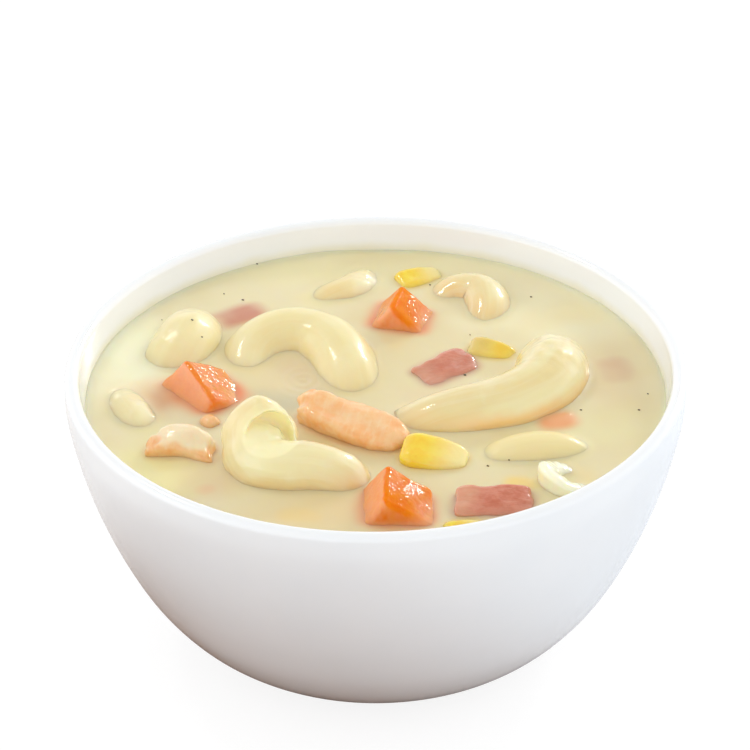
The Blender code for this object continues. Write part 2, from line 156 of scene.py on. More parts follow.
def vertex_normals(v, f):
    """Area-weighted normals of a quad or triangle mesh."""
    f = np.asarray(f)
    n = np.cross(v[f[:, 2]] - v[f[:, 0]], v[f[:, -1]] - v[f[:, 1]]) if f.shape[1] == 4 else \
        np.cross(v[f[:, 1]] - v[f[:, 0]], v[f[:, 2]] - v[f[:, 0]])
    out = np.zeros_like(v)
    for k in range(f.shape[1]):
        np.add.at(out, f[:, k], n)
    return out / np.maximum(np.linalg.norm(out, axis=1), 1e-12)[:, None]


# ------------------------------------------------------------------ camera
ELEVATION = math.radians(31.14)
DISTANCE = 540.0
FOCAL = 3110.0               # in pixels of the 750 x 750 frame
ROLL = math.radians(-0.6)
CENTRE = (375.3, 361.8)      # where the middle of the rim shows
CAM = np.array([0.0, -math.cos(ELEVATION) * DISTANCE, math.sin(ELEVATION) * DISTANCE + BOWL_HEIGHT])
FORWARD = -(CAM - np.array([0.0, 0.0, BOWL_HEIGHT])) / DISTANCE
_right = np.array([1.0, 0.0, 0.0])
_up = np.cross(_right, FORWARD)
RIGHT = math.cos(ROLL) * _right + math.sin(ROLL) * _up
UP = -math.sin(ROLL) * _right + math.cos(ROLL) * _up


def through_pixel(x, y):
    """Direction of the camera's ray through a pixel."""
    d = FORWARD + (x - CENTRE[0]) / FOCAL * RIGHT - (y - CENTRE[1]) / FOCAL * UP
    return d / np.linalg.norm(d)


def on_level(x, y, z=SOUP_LEVEL):
    """Point at height z that shows at pixel (x, y), in millimetres."""
    d = through_pixel(x, y)
    return CAM + d * (z - CAM[2]) / d[2]


def make_camera():
    data = bpy.data.cameras.new("photo_camera")
    data.sensor_width = 36.0
    data.lens = FOCAL / 750.0 * 36.0
    data.clip_start, data.clip_end = 0.02, 30.0
    cam = bpy.data.objects.new("photo_camera", data)
    bpy.context.scene.collection.objects.link(cam)
    look = through_pixel(375.0, 375.0)
    right = RIGHT - look * RIGHT.dot(look)
    right /= np.linalg.norm(right)
    up = np.cross(right, look)
    m = Matrix([[right[0], up[0], -look[0], CAM[0] * MM],
                [right[1], up[1], -look[1], CAM[1] * MM],
                [right[2], up[2], -look[2], CAM[2] * MM],
                [0, 0, 0, 1]])
    cam.matrix_world = m
    bpy.context.scene.camera = cam
    return cam


make_camera()


# --------------------------------------------------------------- materials
class Look:
    """Small helper that writes a node material."""

    def __init__(self, name):
        self.mat = bpy.data.materials.new(name)
        self.mat.use_nodes = True
        self.tree = self.mat.node_tree
        self.tree.nodes.clear()
        self.out = self.tree.nodes.new("ShaderNodeOutputMaterial")
        self.shader = self.tree.nodes.new("ShaderNodeBsdfPrincipled")
        self.tree.links.new(self.shader.outputs[0], self.out.inputs[0])
        self._object = None

    def put(self, socket, value):
        if isinstance(value, bpy.types.NodeSocket):
            self.tree.links.new(value, socket)
        elif hasattr(socket, "default_value"):
            if isinstance(value, (tuple, list)) and len(value) == 3 and len(socket.default_value) == 4:
                value = (*value, 1.0)
            socket.default_value = value

    def node(self, kind, inputs=None, **props):
        n = self.tree.nodes.new(kind)
        for k, v in props.items():
            setattr(n, k, v)
        for k, v in (inputs or {}).items():
            self.put(n.inputs[k], v)
        return n

    def set(self, **inputs):
        names = {"base": "Base Color", "rough": "Roughness", "ior": "IOR", "normal": "Normal",
                 "sss": "Subsurface Weight", "sss_radius": "Subsurface Radius", "sss_scale": "Subsurface Scale",
                 "coat": "Coat Weight", "coat_rough": "Coat Roughness", "coat_ior": "Coat IOR",
                 "coat_normal": "Coat Normal", "spec": "Specular IOR Level", "sheen": "Sheen Weight",
                 "sss_aniso": "Subsurface Anisotropy", "emit": "Emission Color", "emit_strength": "Emission Strength"}
        for k, v in inputs.items():
            self.put(self.shader.inputs[names[k]], v)

    def place(self):
        if self._object is None:
            self._object = self.node("ShaderNodeTexCoord").outputs["Object"]
        return self._object

    def attribute(self, name):
        return self.node("ShaderNodeAttribute", attribute_type="GEOMETRY", attribute_name=name)

    def noise(self, size, detail=2.0, rough=0.5, vector=None, distortion=0.0, stretch=None):
        """Noise with lumps about size millimetres across."""
        vec = self.place() if vector is None else vector
        if stretch is not None:
            vec = self.node("ShaderNodeMapping", {"Vector": vec, "Scale": stretch}).outputs[0]
        n = self.node("ShaderNodeTexNoise", {"Vector": vec, "Scale": 1.0 / (size * MM), "Detail": detail,
                                             "Roughness": rough, "Distortion": distortion})
        return n.outputs["Fac"]

    def cells(self, size, vector=None, feature="F1", randomness=1.0):
        vec = self.place() if vector is None else vector
        n = self.node("ShaderNodeTexVoronoi", {"Vector": vec, "Scale": 1.0 / (size * MM), "Randomness": randomness},
                      feature=feature)
        return n.outputs["Distance"]

    def math(self, op, a, b=0.0, c=0.0, clamp=False):
        n = self.node("ShaderNodeMath", operation=op, use_clamp=clamp)
        for i, v in enumerate((a, b, c)):
            self.put(n.inputs[i], v)
        return n.outputs[0]

    def span(self, value, low, high, out_low=0.0, out_high=1.0, smooth=True):
        n = self.node("ShaderNodeMapRange", interpolation_type="SMOOTHSTEP" if smooth else "LINEAR")
        for k, v in (("Value", value), ("From Min", low), ("From Max", high), ("To Min", out_low), ("To Max", out_high)):
            self.put(n.inputs[k], v)
        return n.outputs[0]

    def mix(self, fac, a, b, blend="MIX"):
        n = self.node("ShaderNodeMix", data_type="RGBA", blend_type=blend, clamp_factor=True)
        self.put(n.inputs[0], fac)
        self.put(n.inputs[6], a)
        self.put(n.inputs[7], b)
        return n.outputs[2]

    def bump(self, height, distance, strength=1.0, normal=None):
        n = self.node("ShaderNodeBump", {"Height": height, "Distance": distance * MM, "Strength": strength})
        if normal is not None:
            self.put(n.inputs["Normal"], normal)
        return n.outputs[0]

    def height(self):
        """Height above the soup level, in millimetres."""
        z = self.node("ShaderNodeSeparateXYZ", {"Vector": self.place()}).outputs["Z"]
        return self.math("MULTIPLY_ADD", z, 1000.0, -SOUP_LEVEL)


CREAM = (0.760, 0.660, 0.375)
CREAM_LIGHT = (0.800, 0.715, 0.450)
# colour that each kind of food gives the soup over and beside it
STAIN_COLOURS = {"carrot": srgb(238, 142, 92), "ham": srgb(205, 142, 116), "corn": srgb(243, 208, 104),
                 "chicken": srgb(232, 184, 130), "macaroni": srgb(231, 208, 154), "macaroni_pale": srgb(238, 224, 170)}


def glaze_look():
    k = Look("bowl_opal_glaze")
    z = k.node("ShaderNodeSeparateXYZ", {"Vector": k.place()}).outputs["Z"]
    cloud = k.noise(16.0, 3.0, 0.5)
    white = k.mix(k.span(cloud, 0.35, 0.65), (0.852, 0.872, 0.880), (0.868, 0.882, 0.886))
    foot = k.math("MULTIPLY", k.span(z, 0.0012, 0.0002), k.span(k.noise(0.8, 3.0), 0.40, 0.62, 0.35, 1.0))
    white = k.mix(foot, white, (0.74, 0.72, 0.68))
    edge = k.math("MULTIPLY_ADD", k.noise(7.0, 3.0, 0.5), 1.6, k.math("ADD", k.height(), -0.8))
    across = k.node("ShaderNodeVectorMath", {0: k.node("ShaderNodeVectorMath", {0: k.place(), 1: (1.0, 1.0, 0.0)},
                                                       operation="MULTIPLY").outputs[0]}, operation="LENGTH").outputs["Value"]
    within = k.math("MULTIPLY", k.math("LESS_THAN", across, 0.0516), k.math("GREATER_THAN", k.height(), -5.0))
    k.set(base=k.mix(k.math("MULTIPLY", k.span(edge, 2.4, 0.1, 0.0, 0.80), within), white, (0.800, 0.760, 0.560)))
    k.set(rough=k.span(k.noise(5.0, 3.0, 0.6), 0.3, 0.7, 0.10, 0.17),
          normal=k.bump(k.noise(9.0, 2.0, 0.45), 0.05, 0.6), ior=1.5,
          sss=0.12, sss_radius=(1.0, 0.95, 0.85), sss_scale=0.0025, coat=0.35, coat_rough=0.04)
    return k.mat


def soup_look():
    k = Look("creamy_soup")
    stain_and_painted_light = k.attribute("stain_and_painted_light")
    broad = k.span(k.noise(18.0, 1.0, 0.4, distortion=0.4), 0.30, 0.70)
    base = k.mix(broad, CREAM, CREAM_LIGHT)
    # the soup's colour: real stains from the food, plus painted shade and painted light from some tints and from the
    # band at the wall
    base = k.mix(stain_and_painted_light.outputs["Alpha"], base, stain_and_painted_light.outputs["Color"])
    k.set(base=base, rough=k.span(k.noise(12.0, 1.0), 0.3, 0.7, 0.29, 0.33),
          normal=k.bump(k.noise(5.0, 1.0, 0.4), 0.05, 0.7), sss=0.60, sss_radius=(1.0, 0.75, 0.35), sss_scale=0.0028,
          coat=0.30, coat_rough=0.09, ior=1.38)
    return k.mat


def wet_film(k, colour, start=1.3, end=-0.3, patch=0.0, most=1.0, left=0.0, soup=CREAM_LIGHT):
    """Soup that has crept up the piece: full at the soup line, gone above start (mm).

    patch adds thin patches higher up, left a film on the faces turned to the left.
    """
    h = k.height()
    ragged = k.math("MULTIPLY_ADD", k.noise(3.6, 2.0, 0.5), 1.6, -0.8)
    film = k.span(k.math("ADD", h, ragged), start, end, 0.0, most)
    if patch:
        film = k.math("MAXIMUM", film, k.math("MULTIPLY", k.span(k.noise(4.0, 3.0, 0.5), 0.52, 0.70), patch))
    if left:
        way = k.node("ShaderNodeVectorMath", {0: k.node("ShaderNodeTexCoord").outputs["Normal"],
                                              1: (-0.90, -0.42, -0.1)}, operation="DOT_PRODUCT").outputs["Value"]
        film = k.math("MAXIMUM", film, k.span(way, 0.25, 0.85, 0.0, left))
    return k.mix(film, colour, soup), film


def macaroni_look():
    k = Look("cooked_macaroni")
    flow = k.attribute("flow").outputs["Vector"]
    inside = k.attribute("inside").outputs["Fac"]
    lines = k.noise(1.2, 3.0, 0.5, vector=flow, stretch=(1.0, 1.0, 0.06))
    broad = k.noise(4.5, 2.0, 0.5, vector=flow, stretch=(1.0, 1.0, 0.25))
    spots = k.noise(5.0, 3.0, 0.5)
    pale, deep = (0.820, 0.745, 0.420), (0.770, 0.640, 0.315)
    base = k.mix(k.span(broad, 0.34, 0.68), pale, deep)
    base = k.mix(k.math("MULTIPLY", k.span(spots, 0.48, 0.75), 0.35), base, (0.840, 0.790, 0.530))
    # painted shade: a darker, warmer tan low on each piece toward the soup line, as strong as the piece's warm value
    low = k.span(k.math("MULTIPLY_ADD", k.noise(5.0, 2.0, 0.5), 2.0, k.math("ADD", k.height(), -1.0)), 3.6, 0.4)
    warm = k.attribute("warm").outputs["Fac"]
    base = k.mix(k.math("MULTIPLY", low, warm), base, (0.900, 0.565, 0.220))
    calm = k.attribute("calm").outputs["Fac"]
    base = k.mix(k.math("MULTIPLY", k.span(lines, 0.45, 0.75), k.span(calm, 0.0, 1.0, 0.30, 0.03)), base,
                 (0.870, 0.820, 0.570))
    # painted light: the inside of the hole is made lighter and yellower than the pasta, over the shade in it
    base = k.mix(k.math("MULTIPLY", inside, 0.80), base, (0.930, 0.860, 0.520))
    # paler where the pale attribute says: a paler pasta colour on some pieces, painted highlight on macaroni_6's lip,
    # and in the light patches painted sheen and highlights over a whitish soup film
    lift = k.attribute("pale").outputs["Fac"]
    base = k.mix(lift, base, (0.945, 0.920, 0.680))
    # the soup film at the soup line is real; its colour is made lighter to offset the shade in the crease, which is
    # painted light
    base, film = wet_film(k, base, 0.9, -0.3, most=0.92, soup=srgb(241, 216, 160))
    sunk = k.attribute("sunk").outputs["Fac"]
    base = k.mix(sunk, base, srgb(236, 223, 168))
    ripples = k.math("MULTIPLY_ADD", lines, k.span(calm, 0.0, 1.0, 0.5, 0.05),
                     k.math("MULTIPLY", k.noise(1.6, 3.0, 0.55), 0.7))
    broken = k.attribute("broken").outputs["Fac"]
    torn = k.math("MULTIPLY_ADD", k.noise(2.4, 1.0, 0.5), 0.8, k.math("MULTIPLY", k.noise(1.2, 1.0, 0.5), 0.4))
    wet = k.math("MULTIPLY_ADD", k.noise(1.1, 2.0, 0.6), 0.12, k.math("MULTIPLY", torn, broken))
    wet = k.math("MULTIPLY_ADD", k.noise(3.0, 1.0, 0.5), 0.5, wet)
    k.set(base=base, rough=k.span(k.noise(1.6, 3.0), 0.3, 0.7, 0.29, 0.42),
          normal=k.bump(ripples, 0.08, 0.8), sss=0.65, sss_radius=(1.0, 0.78, 0.40), sss_scale=0.0034,
          coat=k.span(sunk, 0.0, 0.8, 0.75, 0.25), coat_rough=k.span(broken, 0.0, 0.6, 0.08, 0.035), coat_normal=k.bump(wet, 0.26, 1.0), ior=1.40)
    return k.mat


def carrot_look():
    k = Look("cooked_carrot")
    mottled = k.noise(2.2, 4.0, 0.6)
    grain = k.noise(0.55, 3.0, 0.6, stretch=(1.0, 1.0, 0.5))
    base = k.mix(k.span(mottled, 0.36, 0.66), (0.790, 0.225, 0.004), (0.775, 0.180, 0.002))
    base = k.mix(k.math("MULTIPLY", k.span(grain, 0.48, 0.75), 0.30), base, (0.860, 0.280, 0.030))
    base, film = wet_film(k, base, 2.2, -0.5, most=0.75, left=0.62, soup=srgb(243, 180, 142))
    pits = k.math("ADD", k.math("MULTIPLY", k.cells(0.6), 0.6), k.math("MULTIPLY", grain, 0.5))
    broken = k.attribute("broken").outputs["Fac"]
    k.set(base=base, rough=k.span(grain, 0.3, 0.7, 0.29, 0.42), normal=k.bump(pits, 0.06, 0.8), spec=0.04,
          sss=0.55, sss_radius=(1.0, 0.35, 0.10), sss_scale=0.0022, coat=k.span(broken, 0.0, 0.7, 0.10, 1.0),
          coat_rough=0.05, coat_normal=k.bump(k.noise(0.75, 1.0, 0.5), 0.14, 1.0), ior=1.42)
    return k.mat


def corn_look():
    k = Look("corn_kernel")
    root = k.attribute("root").outputs["Fac"]
    base = k.mix(k.span(k.noise(2.0, 3.0), 0.35, 0.66), (0.900, 0.680, 0.042), (0.890, 0.600, 0.022))
    base = k.mix(k.span(root, 0.30, 0.95), base, (0.910, 0.770, 0.340))
    base = k.mix(k.attribute("warm").outputs["Fac"], base, (0.620, 0.430, 0.030))
    base, film = wet_film(k, base, 1.2, -0.4, most=0.6, soup=STAIN_COLOURS["corn"])
    k.set(base=base, rough=k.span(k.noise(1.2, 3.0), 0.3, 0.7, 0.29, 0.34),
          normal=k.bump(k.noise(0.9, 3.0, 0.5), 0.10, 0.7), sss=0.55, sss_radius=(1.0, 0.60, 0.15),
          sss_scale=0.0022, coat=0.80, coat_rough=0.05, ior=1.42)
    return k.mat


def ham_look():
    k = Look("ham_piece")
    fibre = k.noise(0.9, 4.0, 0.6, stretch=(0.45, 1.6, 1.0))
    base = k.mix(k.span(k.noise(2.4, 4.0, 0.6), 0.35, 0.66), (0.560, 0.150, 0.072), (0.640, 0.225, 0.130))
    base = k.mix(k.math("MULTIPLY", k.span(fibre, 0.52, 0.74), 0.28), base, (0.700, 0.340, 0.240))
    base = k.mix(k.math("MULTIPLY", k.span(k.cells(1.3), 0.22, 0.05), 0.30), base, (0.500, 0.140, 0.100))
    base = k.mix(k.attribute("pale").outputs["Fac"], base, srgb(222, 168, 132))
    base, film = wet_film(k, base, 1.5, -0.4, patch=0.12, most=0.85, left=0.25, soup=STAIN_COLOURS["ham"])
    k.set(base=base, rough=k.span(fibre, 0.3, 0.7, 0.29, 0.44), normal=k.bump(fibre, 0.10, 0.8),
          sss=0.50, sss_radius=(1.0, 0.40, 0.28), sss_scale=0.0020, coat=0.80, coat_rough=0.07, ior=1.42)
    return k.mat


def chicken_look():
    k = Look("cooked_chicken")
    flow = k.attribute("flow").outputs["Vector"]
    fibre = k.noise(0.8, 4.0, 0.6, vector=flow, stretch=(0.18, 1.0, 1.0))
    base = k.mix(k.span(k.noise(3.4, 3.0, 0.55), 0.35, 0.65), (0.880, 0.440, 0.155), (0.890, 0.560, 0.270))
    base = k.mix(k.math("MULTIPLY", k.span(fibre, 0.45, 0.75), 0.30), base, (0.900, 0.700, 0.430))
    tint = k.attribute("pale").outputs["Fac"]
    base = k.mix(tint, base, (0.880, 0.760, 0.500))
    base, film = wet_film(k, base, 1.5, -0.4, most=0.8, soup=STAIN_COLOURS["chicken"])
    k.set(base=base, rough=k.span(fibre, 0.3, 0.7, 0.29, 0.46), normal=k.bump(fibre, 0.09, 0.9),
          sss=0.55, sss_radius=(1.0, 0.55, 0.28), sss_scale=0.0022, coat=0.60, coat_rough=0.08, ior=1.42)
    return k.mat


def pepper_look():
    k = Look("ground_pepper")
    base = k.mix(k.span(k.noise(0.25, 3.0), 0.4, 0.6), (0.060, 0.050, 0.030), (0.190, 0.150, 0.085))
    k.set(base=base, rough=0.6, normal=k.bump(k.noise(0.12, 2.0), 0.03, 0.8))
    return k.mat


def floor_look():
    k = Look("studio_floor")
    soft = k.noise(60.0, 3.0, 0.5)
    axes = k.node("ShaderNodeSeparateXYZ", {"Vector": k.place()}).outputs
    # painted shade for bounced light only: warm and darker at the left, cool at the right, and a dark warm patch close
    # to the bowl's front left, so the bowl's underside is shaded
    tone = k.mix(k.span(axes["X"], -0.06, 0.12), (0.860, 0.830, 0.810), (0.830, 0.870, 0.930))
    near = k.node("ShaderNodeVectorMath", {0: k.node("ShaderNodeVectorMath", {0: k.place(), 1: (-0.036, -0.058, 0.0)},
                                                     operation="SUBTRACT").outputs[0]}, operation="LENGTH").outputs["Value"]
    tone = k.mix(k.span(near, 0.100, 0.034), tone, (0.240, 0.112, 0.050))
    k.set(base=k.mix(k.math("MULTIPLY", k.span(soft, 0.35, 0.65), 0.2), tone, (0.48, 0.46, 0.45)), rough=0.85, spec=0.1)
    # to the eye the floor is a sheet of white paper, lit from below as well
    pale = k.node("ShaderNodeBsdfDiffuse", {"Color": (0.90, 0.90, 0.90)})
    glow = k.node("ShaderNodeEmission", {"Color": (1.0, 1.0, 1.0), "Strength": 1.08})
    sheet = k.node("ShaderNodeMixShader", {0: 0.78})
    k.tree.links.new(pale.outputs[0], sheet.inputs[1])
    k.tree.links.new(glow.outputs[0], sheet.inputs[2])
    seen = k.node("ShaderNodeMixShader", {0: k.node("ShaderNodeLightPath").outputs["Is Camera Ray"]})
    k.tree.links.new(k.shader.outputs[0], seen.inputs[1])
    k.tree.links.new(sheet.outputs[0], seen.inputs[2])
    k.tree.links.new(seen.outputs[0], k.out.inputs[0])
    return k.mat


LOOKS = {"glaze": glaze_look(), "soup": soup_look(), "macaroni": macaroni_look(), "carrot": carrot_look(),
         "corn": corn_look(), "ham": ham_look(), "chicken": chicken_look(), "pepper": pepper_look(),
         "floor": floor_look()}


# ------------------------------------------------------------------ meshes
def add_piece(name, verts, faces, look, node=None, extra=None, attributes=None):
    """One object from points in millimetres that rides on the bowl's only body."""
    verts = np.asarray(verts, float)
    polys = [tuple(int(i) for i in f) for f in faces] + [tuple(f) for f in (extra or [])]
    tri = np.array([(p[0], p[k], p[k + 1]) for p in polys for k in range(1, len(p) - 1)])
    volume = np.einsum("ij,ij->i", verts[tri[:, 0]], np.cross(verts[tri[:, 1]], verts[tri[:, 2]])).sum()
    if volume < 0:
        polys = [p[::-1] for p in polys]
    mesh = bpy.data.meshes.new(name)
    mesh.from_pydata((verts * MM).tolist(), [], polys)
    mesh.materials.append(LOOKS[look])
    for key, values in (attributes or {}).items():
        values = np.asarray(values, np.float32)
        if values.ndim == 1:
            a = mesh.attributes.new(key, "FLOAT", "POINT")
            a.data.foreach_set("value", values)
        elif values.shape[1] == 3:
            a = mesh.attributes.new(key, "FLOAT_VECTOR", "POINT")
            a.data.foreach_set("vector", values.ravel())
        else:
            a = mesh.attributes.new(key, "FLOAT_COLOR", "POINT")
            a.data.foreach_set("color", values.ravel())
    mesh.shade_smooth()
    mesh.update()
    ob = bpy.data.objects.new(name, mesh)
    bpy.context.scene.collection.objects.link(ob)
    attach(ob, "root")
    if node:
        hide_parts(node)
    return ob


def grid_faces(rows, columns, wrap=True):
    """Quads of a grid of points, closed across the columns when wrap is set."""
    i, j = np.meshgrid(np.arange(rows - 1), np.arange(columns if wrap else columns - 1), indexing="ij")
    j2 = (j + 1) % columns
    return np.stack([i * columns + j, i * columns + j2, (i + 1) * columns + j2, (i + 1) * columns + j],
                    axis=-1).reshape(-1, 4)


def capped(rings, first, last):
    """Points and faces of a closed tube of rings (n, sides, 3) with end points."""
    n, sides = rings.shape[:2]
    verts = np.concatenate([rings.reshape(-1, 3), [first, last]])
    quads = grid_faces(n, sides)
    a, b = n * sides, n * sides + 1
    caps = [(int((k + 1) % sides), int(k), a) for k in range(sides)]
    top = (n - 1) * sides
    caps += [(int(top + k), int(top + (k + 1) % sides), b) for k in range(sides)]
    return verts, quads, caps


# -------------------------------------------------------------------- bowl
OUTER_SIDE = (
    (1.000, 0.026), (0.998, 0.100), (0.973, 0.240), (0.932, 0.390), (0.866, 0.564),
    (0.790, 0.713), (0.695, 0.836), (0.590, 0.919), (0.515, 0.945), (0.450, 0.954),
)


def wall(z):
    return np.interp(z, [0.0, 12.0, SOUP_LEVEL, BOWL_HEIGHT - 2.0], [4.2, 3.4, 3.4, 2.6])


def inner_points():
    side = [(r * BOWL_RADIUS, BOWL_HEIGHT - d * BOWL_RADIUS) for r, d in OUTER_SIDE][1:]
    points = []
    for i, (r, z) in enumerate(side):
        a, b = side[max(i - 1, 0)], side[min(i + 1, len(side) - 1)]
        t = np.array([b[0] - a[0], b[1] - a[1]])
        t /= np.linalg.norm(t)
        normal = np.array([t[1], -t[0]])
        if normal[0] > 0:
            normal = -normal
        points.append((r + normal[0] * wall(z), z + normal[1] * wall(z)))
    floor = points[-1][1] - 0.55
    points.append((points[-1][0] * 0.62, floor))
    points.append((points[-2][0] * 0.30, floor - 0.1))
    points.append((0.0, floor - 0.12))
    return points


def dense(points, count):
    return smooth_curve([(a, b, 0.0) for a, b in points], count)[:, :2]


LIP_R, LIP_Z = BOWL_RADIUS - LIP_RADIUS, BOWL_HEIGHT - LIP_RADIUS
INNER = dense([(LIP_R - LIP_RADIUS, LIP_Z)] + inner_points(), 90)


def inner_radius(z):
    return float(np.interp(-z, -INNER[:, 1], INNER[:, 0]))


def make_bowl():
    side = [(r * BOWL_RADIUS, BOWL_HEIGHT - d * BOWL_RADIUS) for r, d in OUTER_SIDE][1:]
    foot = [(0.0, 1.6), (9.0, 1.6), (17.6, 1.6), (18.5, 1.45), (19.0, 1.0), (19.35, 0.45), (19.8, 0.1), (20.4, 0.0),
            (21.3, 0.0), (22.2, 0.0), (22.75, 0.12), (23.1, 0.5), (23.5, 0.9), (23.9, 1.0)]
    outer = dense(list(reversed(side)) + [(BOWL_RADIUS, LIP_Z)], 96)
    lip = [(LIP_R + LIP_RADIUS * math.cos(a), LIP_Z + LIP_RADIUS * math.sin(a))
           for a in np.linspace(0.0, math.pi, 22)[1:-1]]
    profile = np.array(foot + [tuple(p) for p in outer] + lip + [tuple(p) for p in INNER])
    sides = 256
    a = np.linspace(0.0, 2.0 * math.pi, sides, endpoint=False)
    body = profile[1:-1]
    rings = np.stack([body[:, None, 0] * np.cos(a), body[:, None, 0] * np.sin(a),
                      np.repeat(body[:, 1:2], sides, axis=1)], axis=-1)
    # the turned wall is very slightly uneven, as a pressed dish is
    p = rings.reshape(-1, 3)
    soft = 0.045 * noise(p, 17.0, 3) * step_up(p[:, 2], 1.2, 6.0) * step_up(-p[:, 2], -51.0, -45.0)
    out = p[:, :2] / np.maximum(np.linalg.norm(p[:, :2], axis=1), 1e-9)[:, None]
    p[:, :2] += out * soft[:, None]
    verts, quads, caps = capped(p.reshape(rings.shape), (0.0, 0.0, profile[0][1]), (0.0, 0.0, profile[-1][1]))
    return add_piece("bowl_opal", verts, quads, "glaze", node="bowl", extra=caps)


# ---------------------------------------------------------------- macaroni
MACARONI = {
    "macaroni_1": dict(line=((-32.6, 24.8, -6.0), (-33.0, 21.4, -2.2), (-33.8, 17.6, -0.7), (-35.4, 14.0, -2.2),
                             (-37.0, 11.6, -5.2)), radius=6.0, warm=0.25, pale=0.25, sunk=0.52,
                       broken=((214, 332), (194, 322), (160, 340))),
    "macaroni_2": dict(line=((-20.8, 6.0, -8.8), (-22.4, 11.6, -5.4), (-20.9, 17.0, -2.7), (-16.2, 19.6, -1.3),
                             (-10.7, 18.3, -1.1), (-6.8, 13.5, -1.2), (-4.8, 7.4, -2.6), (-3.8, 1.8, -6.2)),
                       radius=6.2, warm=0.40, sunk=0.50,
                       light=((345, 368, 2.6, 0.40), (250, 358, 3.0, 0.4))),
    "macaroni_3": dict(line=((-13.0, -20.0, 7.0), (-17.5, -19.8, 6.8), (-21.3, -21.4, 4.6), (-21.8, -24.6, 2.0),
                             (-17.4, -26.2, 1.3), (-11.2, -26.3, 1.1), (-6.4, -26.8, -0.6), (-3.8, -27.6, -4.4)),
                       radius=5.0, curled=True, warm=0.50, pale=0.05, broken=((271, 424), (285, 430), (252, 460)),
                       light=((252, 468, 2.8, 0.25),)),
    "macaroni_4": dict(line=((5.8, -8.4, -4.8), (11.2, -8.0, -2.2), (17.6, -7.2, -0.8), (23.8, -5.2, -0.1),
                             (28.8, -1.2, 0.4), (31.0, 4.0, 0.4), (31.2, 9.2, -1.2)), radius=6.0, swell=0.09, warm=0.95, warm_from=(10.0, 19.0),
                       broken=((548, 350), (568, 356), (585, 372))),
    "macaroni_5": dict(line=((18.8, -21.0, -5.6), (21.8, -19.8, -3.0), (26.6, -18.7, -2.1), (31.4, -18.3, -2.7),
                             (35.2, -18.8, -5.2)), radius=4.6, sunk=0.75),
    # macaroni_6's near-white is painted highlight on its lip
    "macaroni_6": dict(line=((32.4, -28.6, 1.0), (32.3, -28.6, -1.8), (30.8, -28.9, -5.4), (27.8, -29.4, -8.6)),
                       radius=5.5, mouth=4.5, bore=1.7, cut=(0.45, 0.20, 0.87), ragged=0.18, pale=0.95),
    "macaroni_7": dict(line=((-43.4, 3.4, -6.0), (-44.0, -0.6, -3.4), (-42.9, -4.4, -2.6), (-41.0, -8.0, -2.9),
                             (-39.6, -10.6, -4.8)), radius=4.4, sunk=0.45, pale=0.3, broken=((143, 404), (150, 418)),
                       light=((146, 411, 2.6, 0.85),)),
    "macaroni_8": dict(line=((-12.4, 31.4, -5.6), (-8.6, 34.4, -3.4), (-4.4, 36.4, -2.4), (-2.4, 40.2, -3.4),
                             (-3.4, 43.2, -6.0)), radius=4.6, sunk=0.30, broken=((368, 276), (364, 286)),
                       light=((366, 281, 2.4, 0.7),)),
    "macaroni_9": dict(line=((11.8, 34.0, -4.8), (15.4, 36.2, -2.4), (19.4, 34.8, -1.6), (20.8, 29.8, -2.0),
                             (19.6, 24.4, -4.8)), radius=4.6),
    # sunk just under the surface at the back right: only its back shows through the soup
    "sunk_elbow": dict(line=((26.5, 21.5, -6.6), (31.0, 25.0, -5.4), (36.0, 26.6, -5.1), (41.0, 24.0, -6.2)), radius=4.6),
}


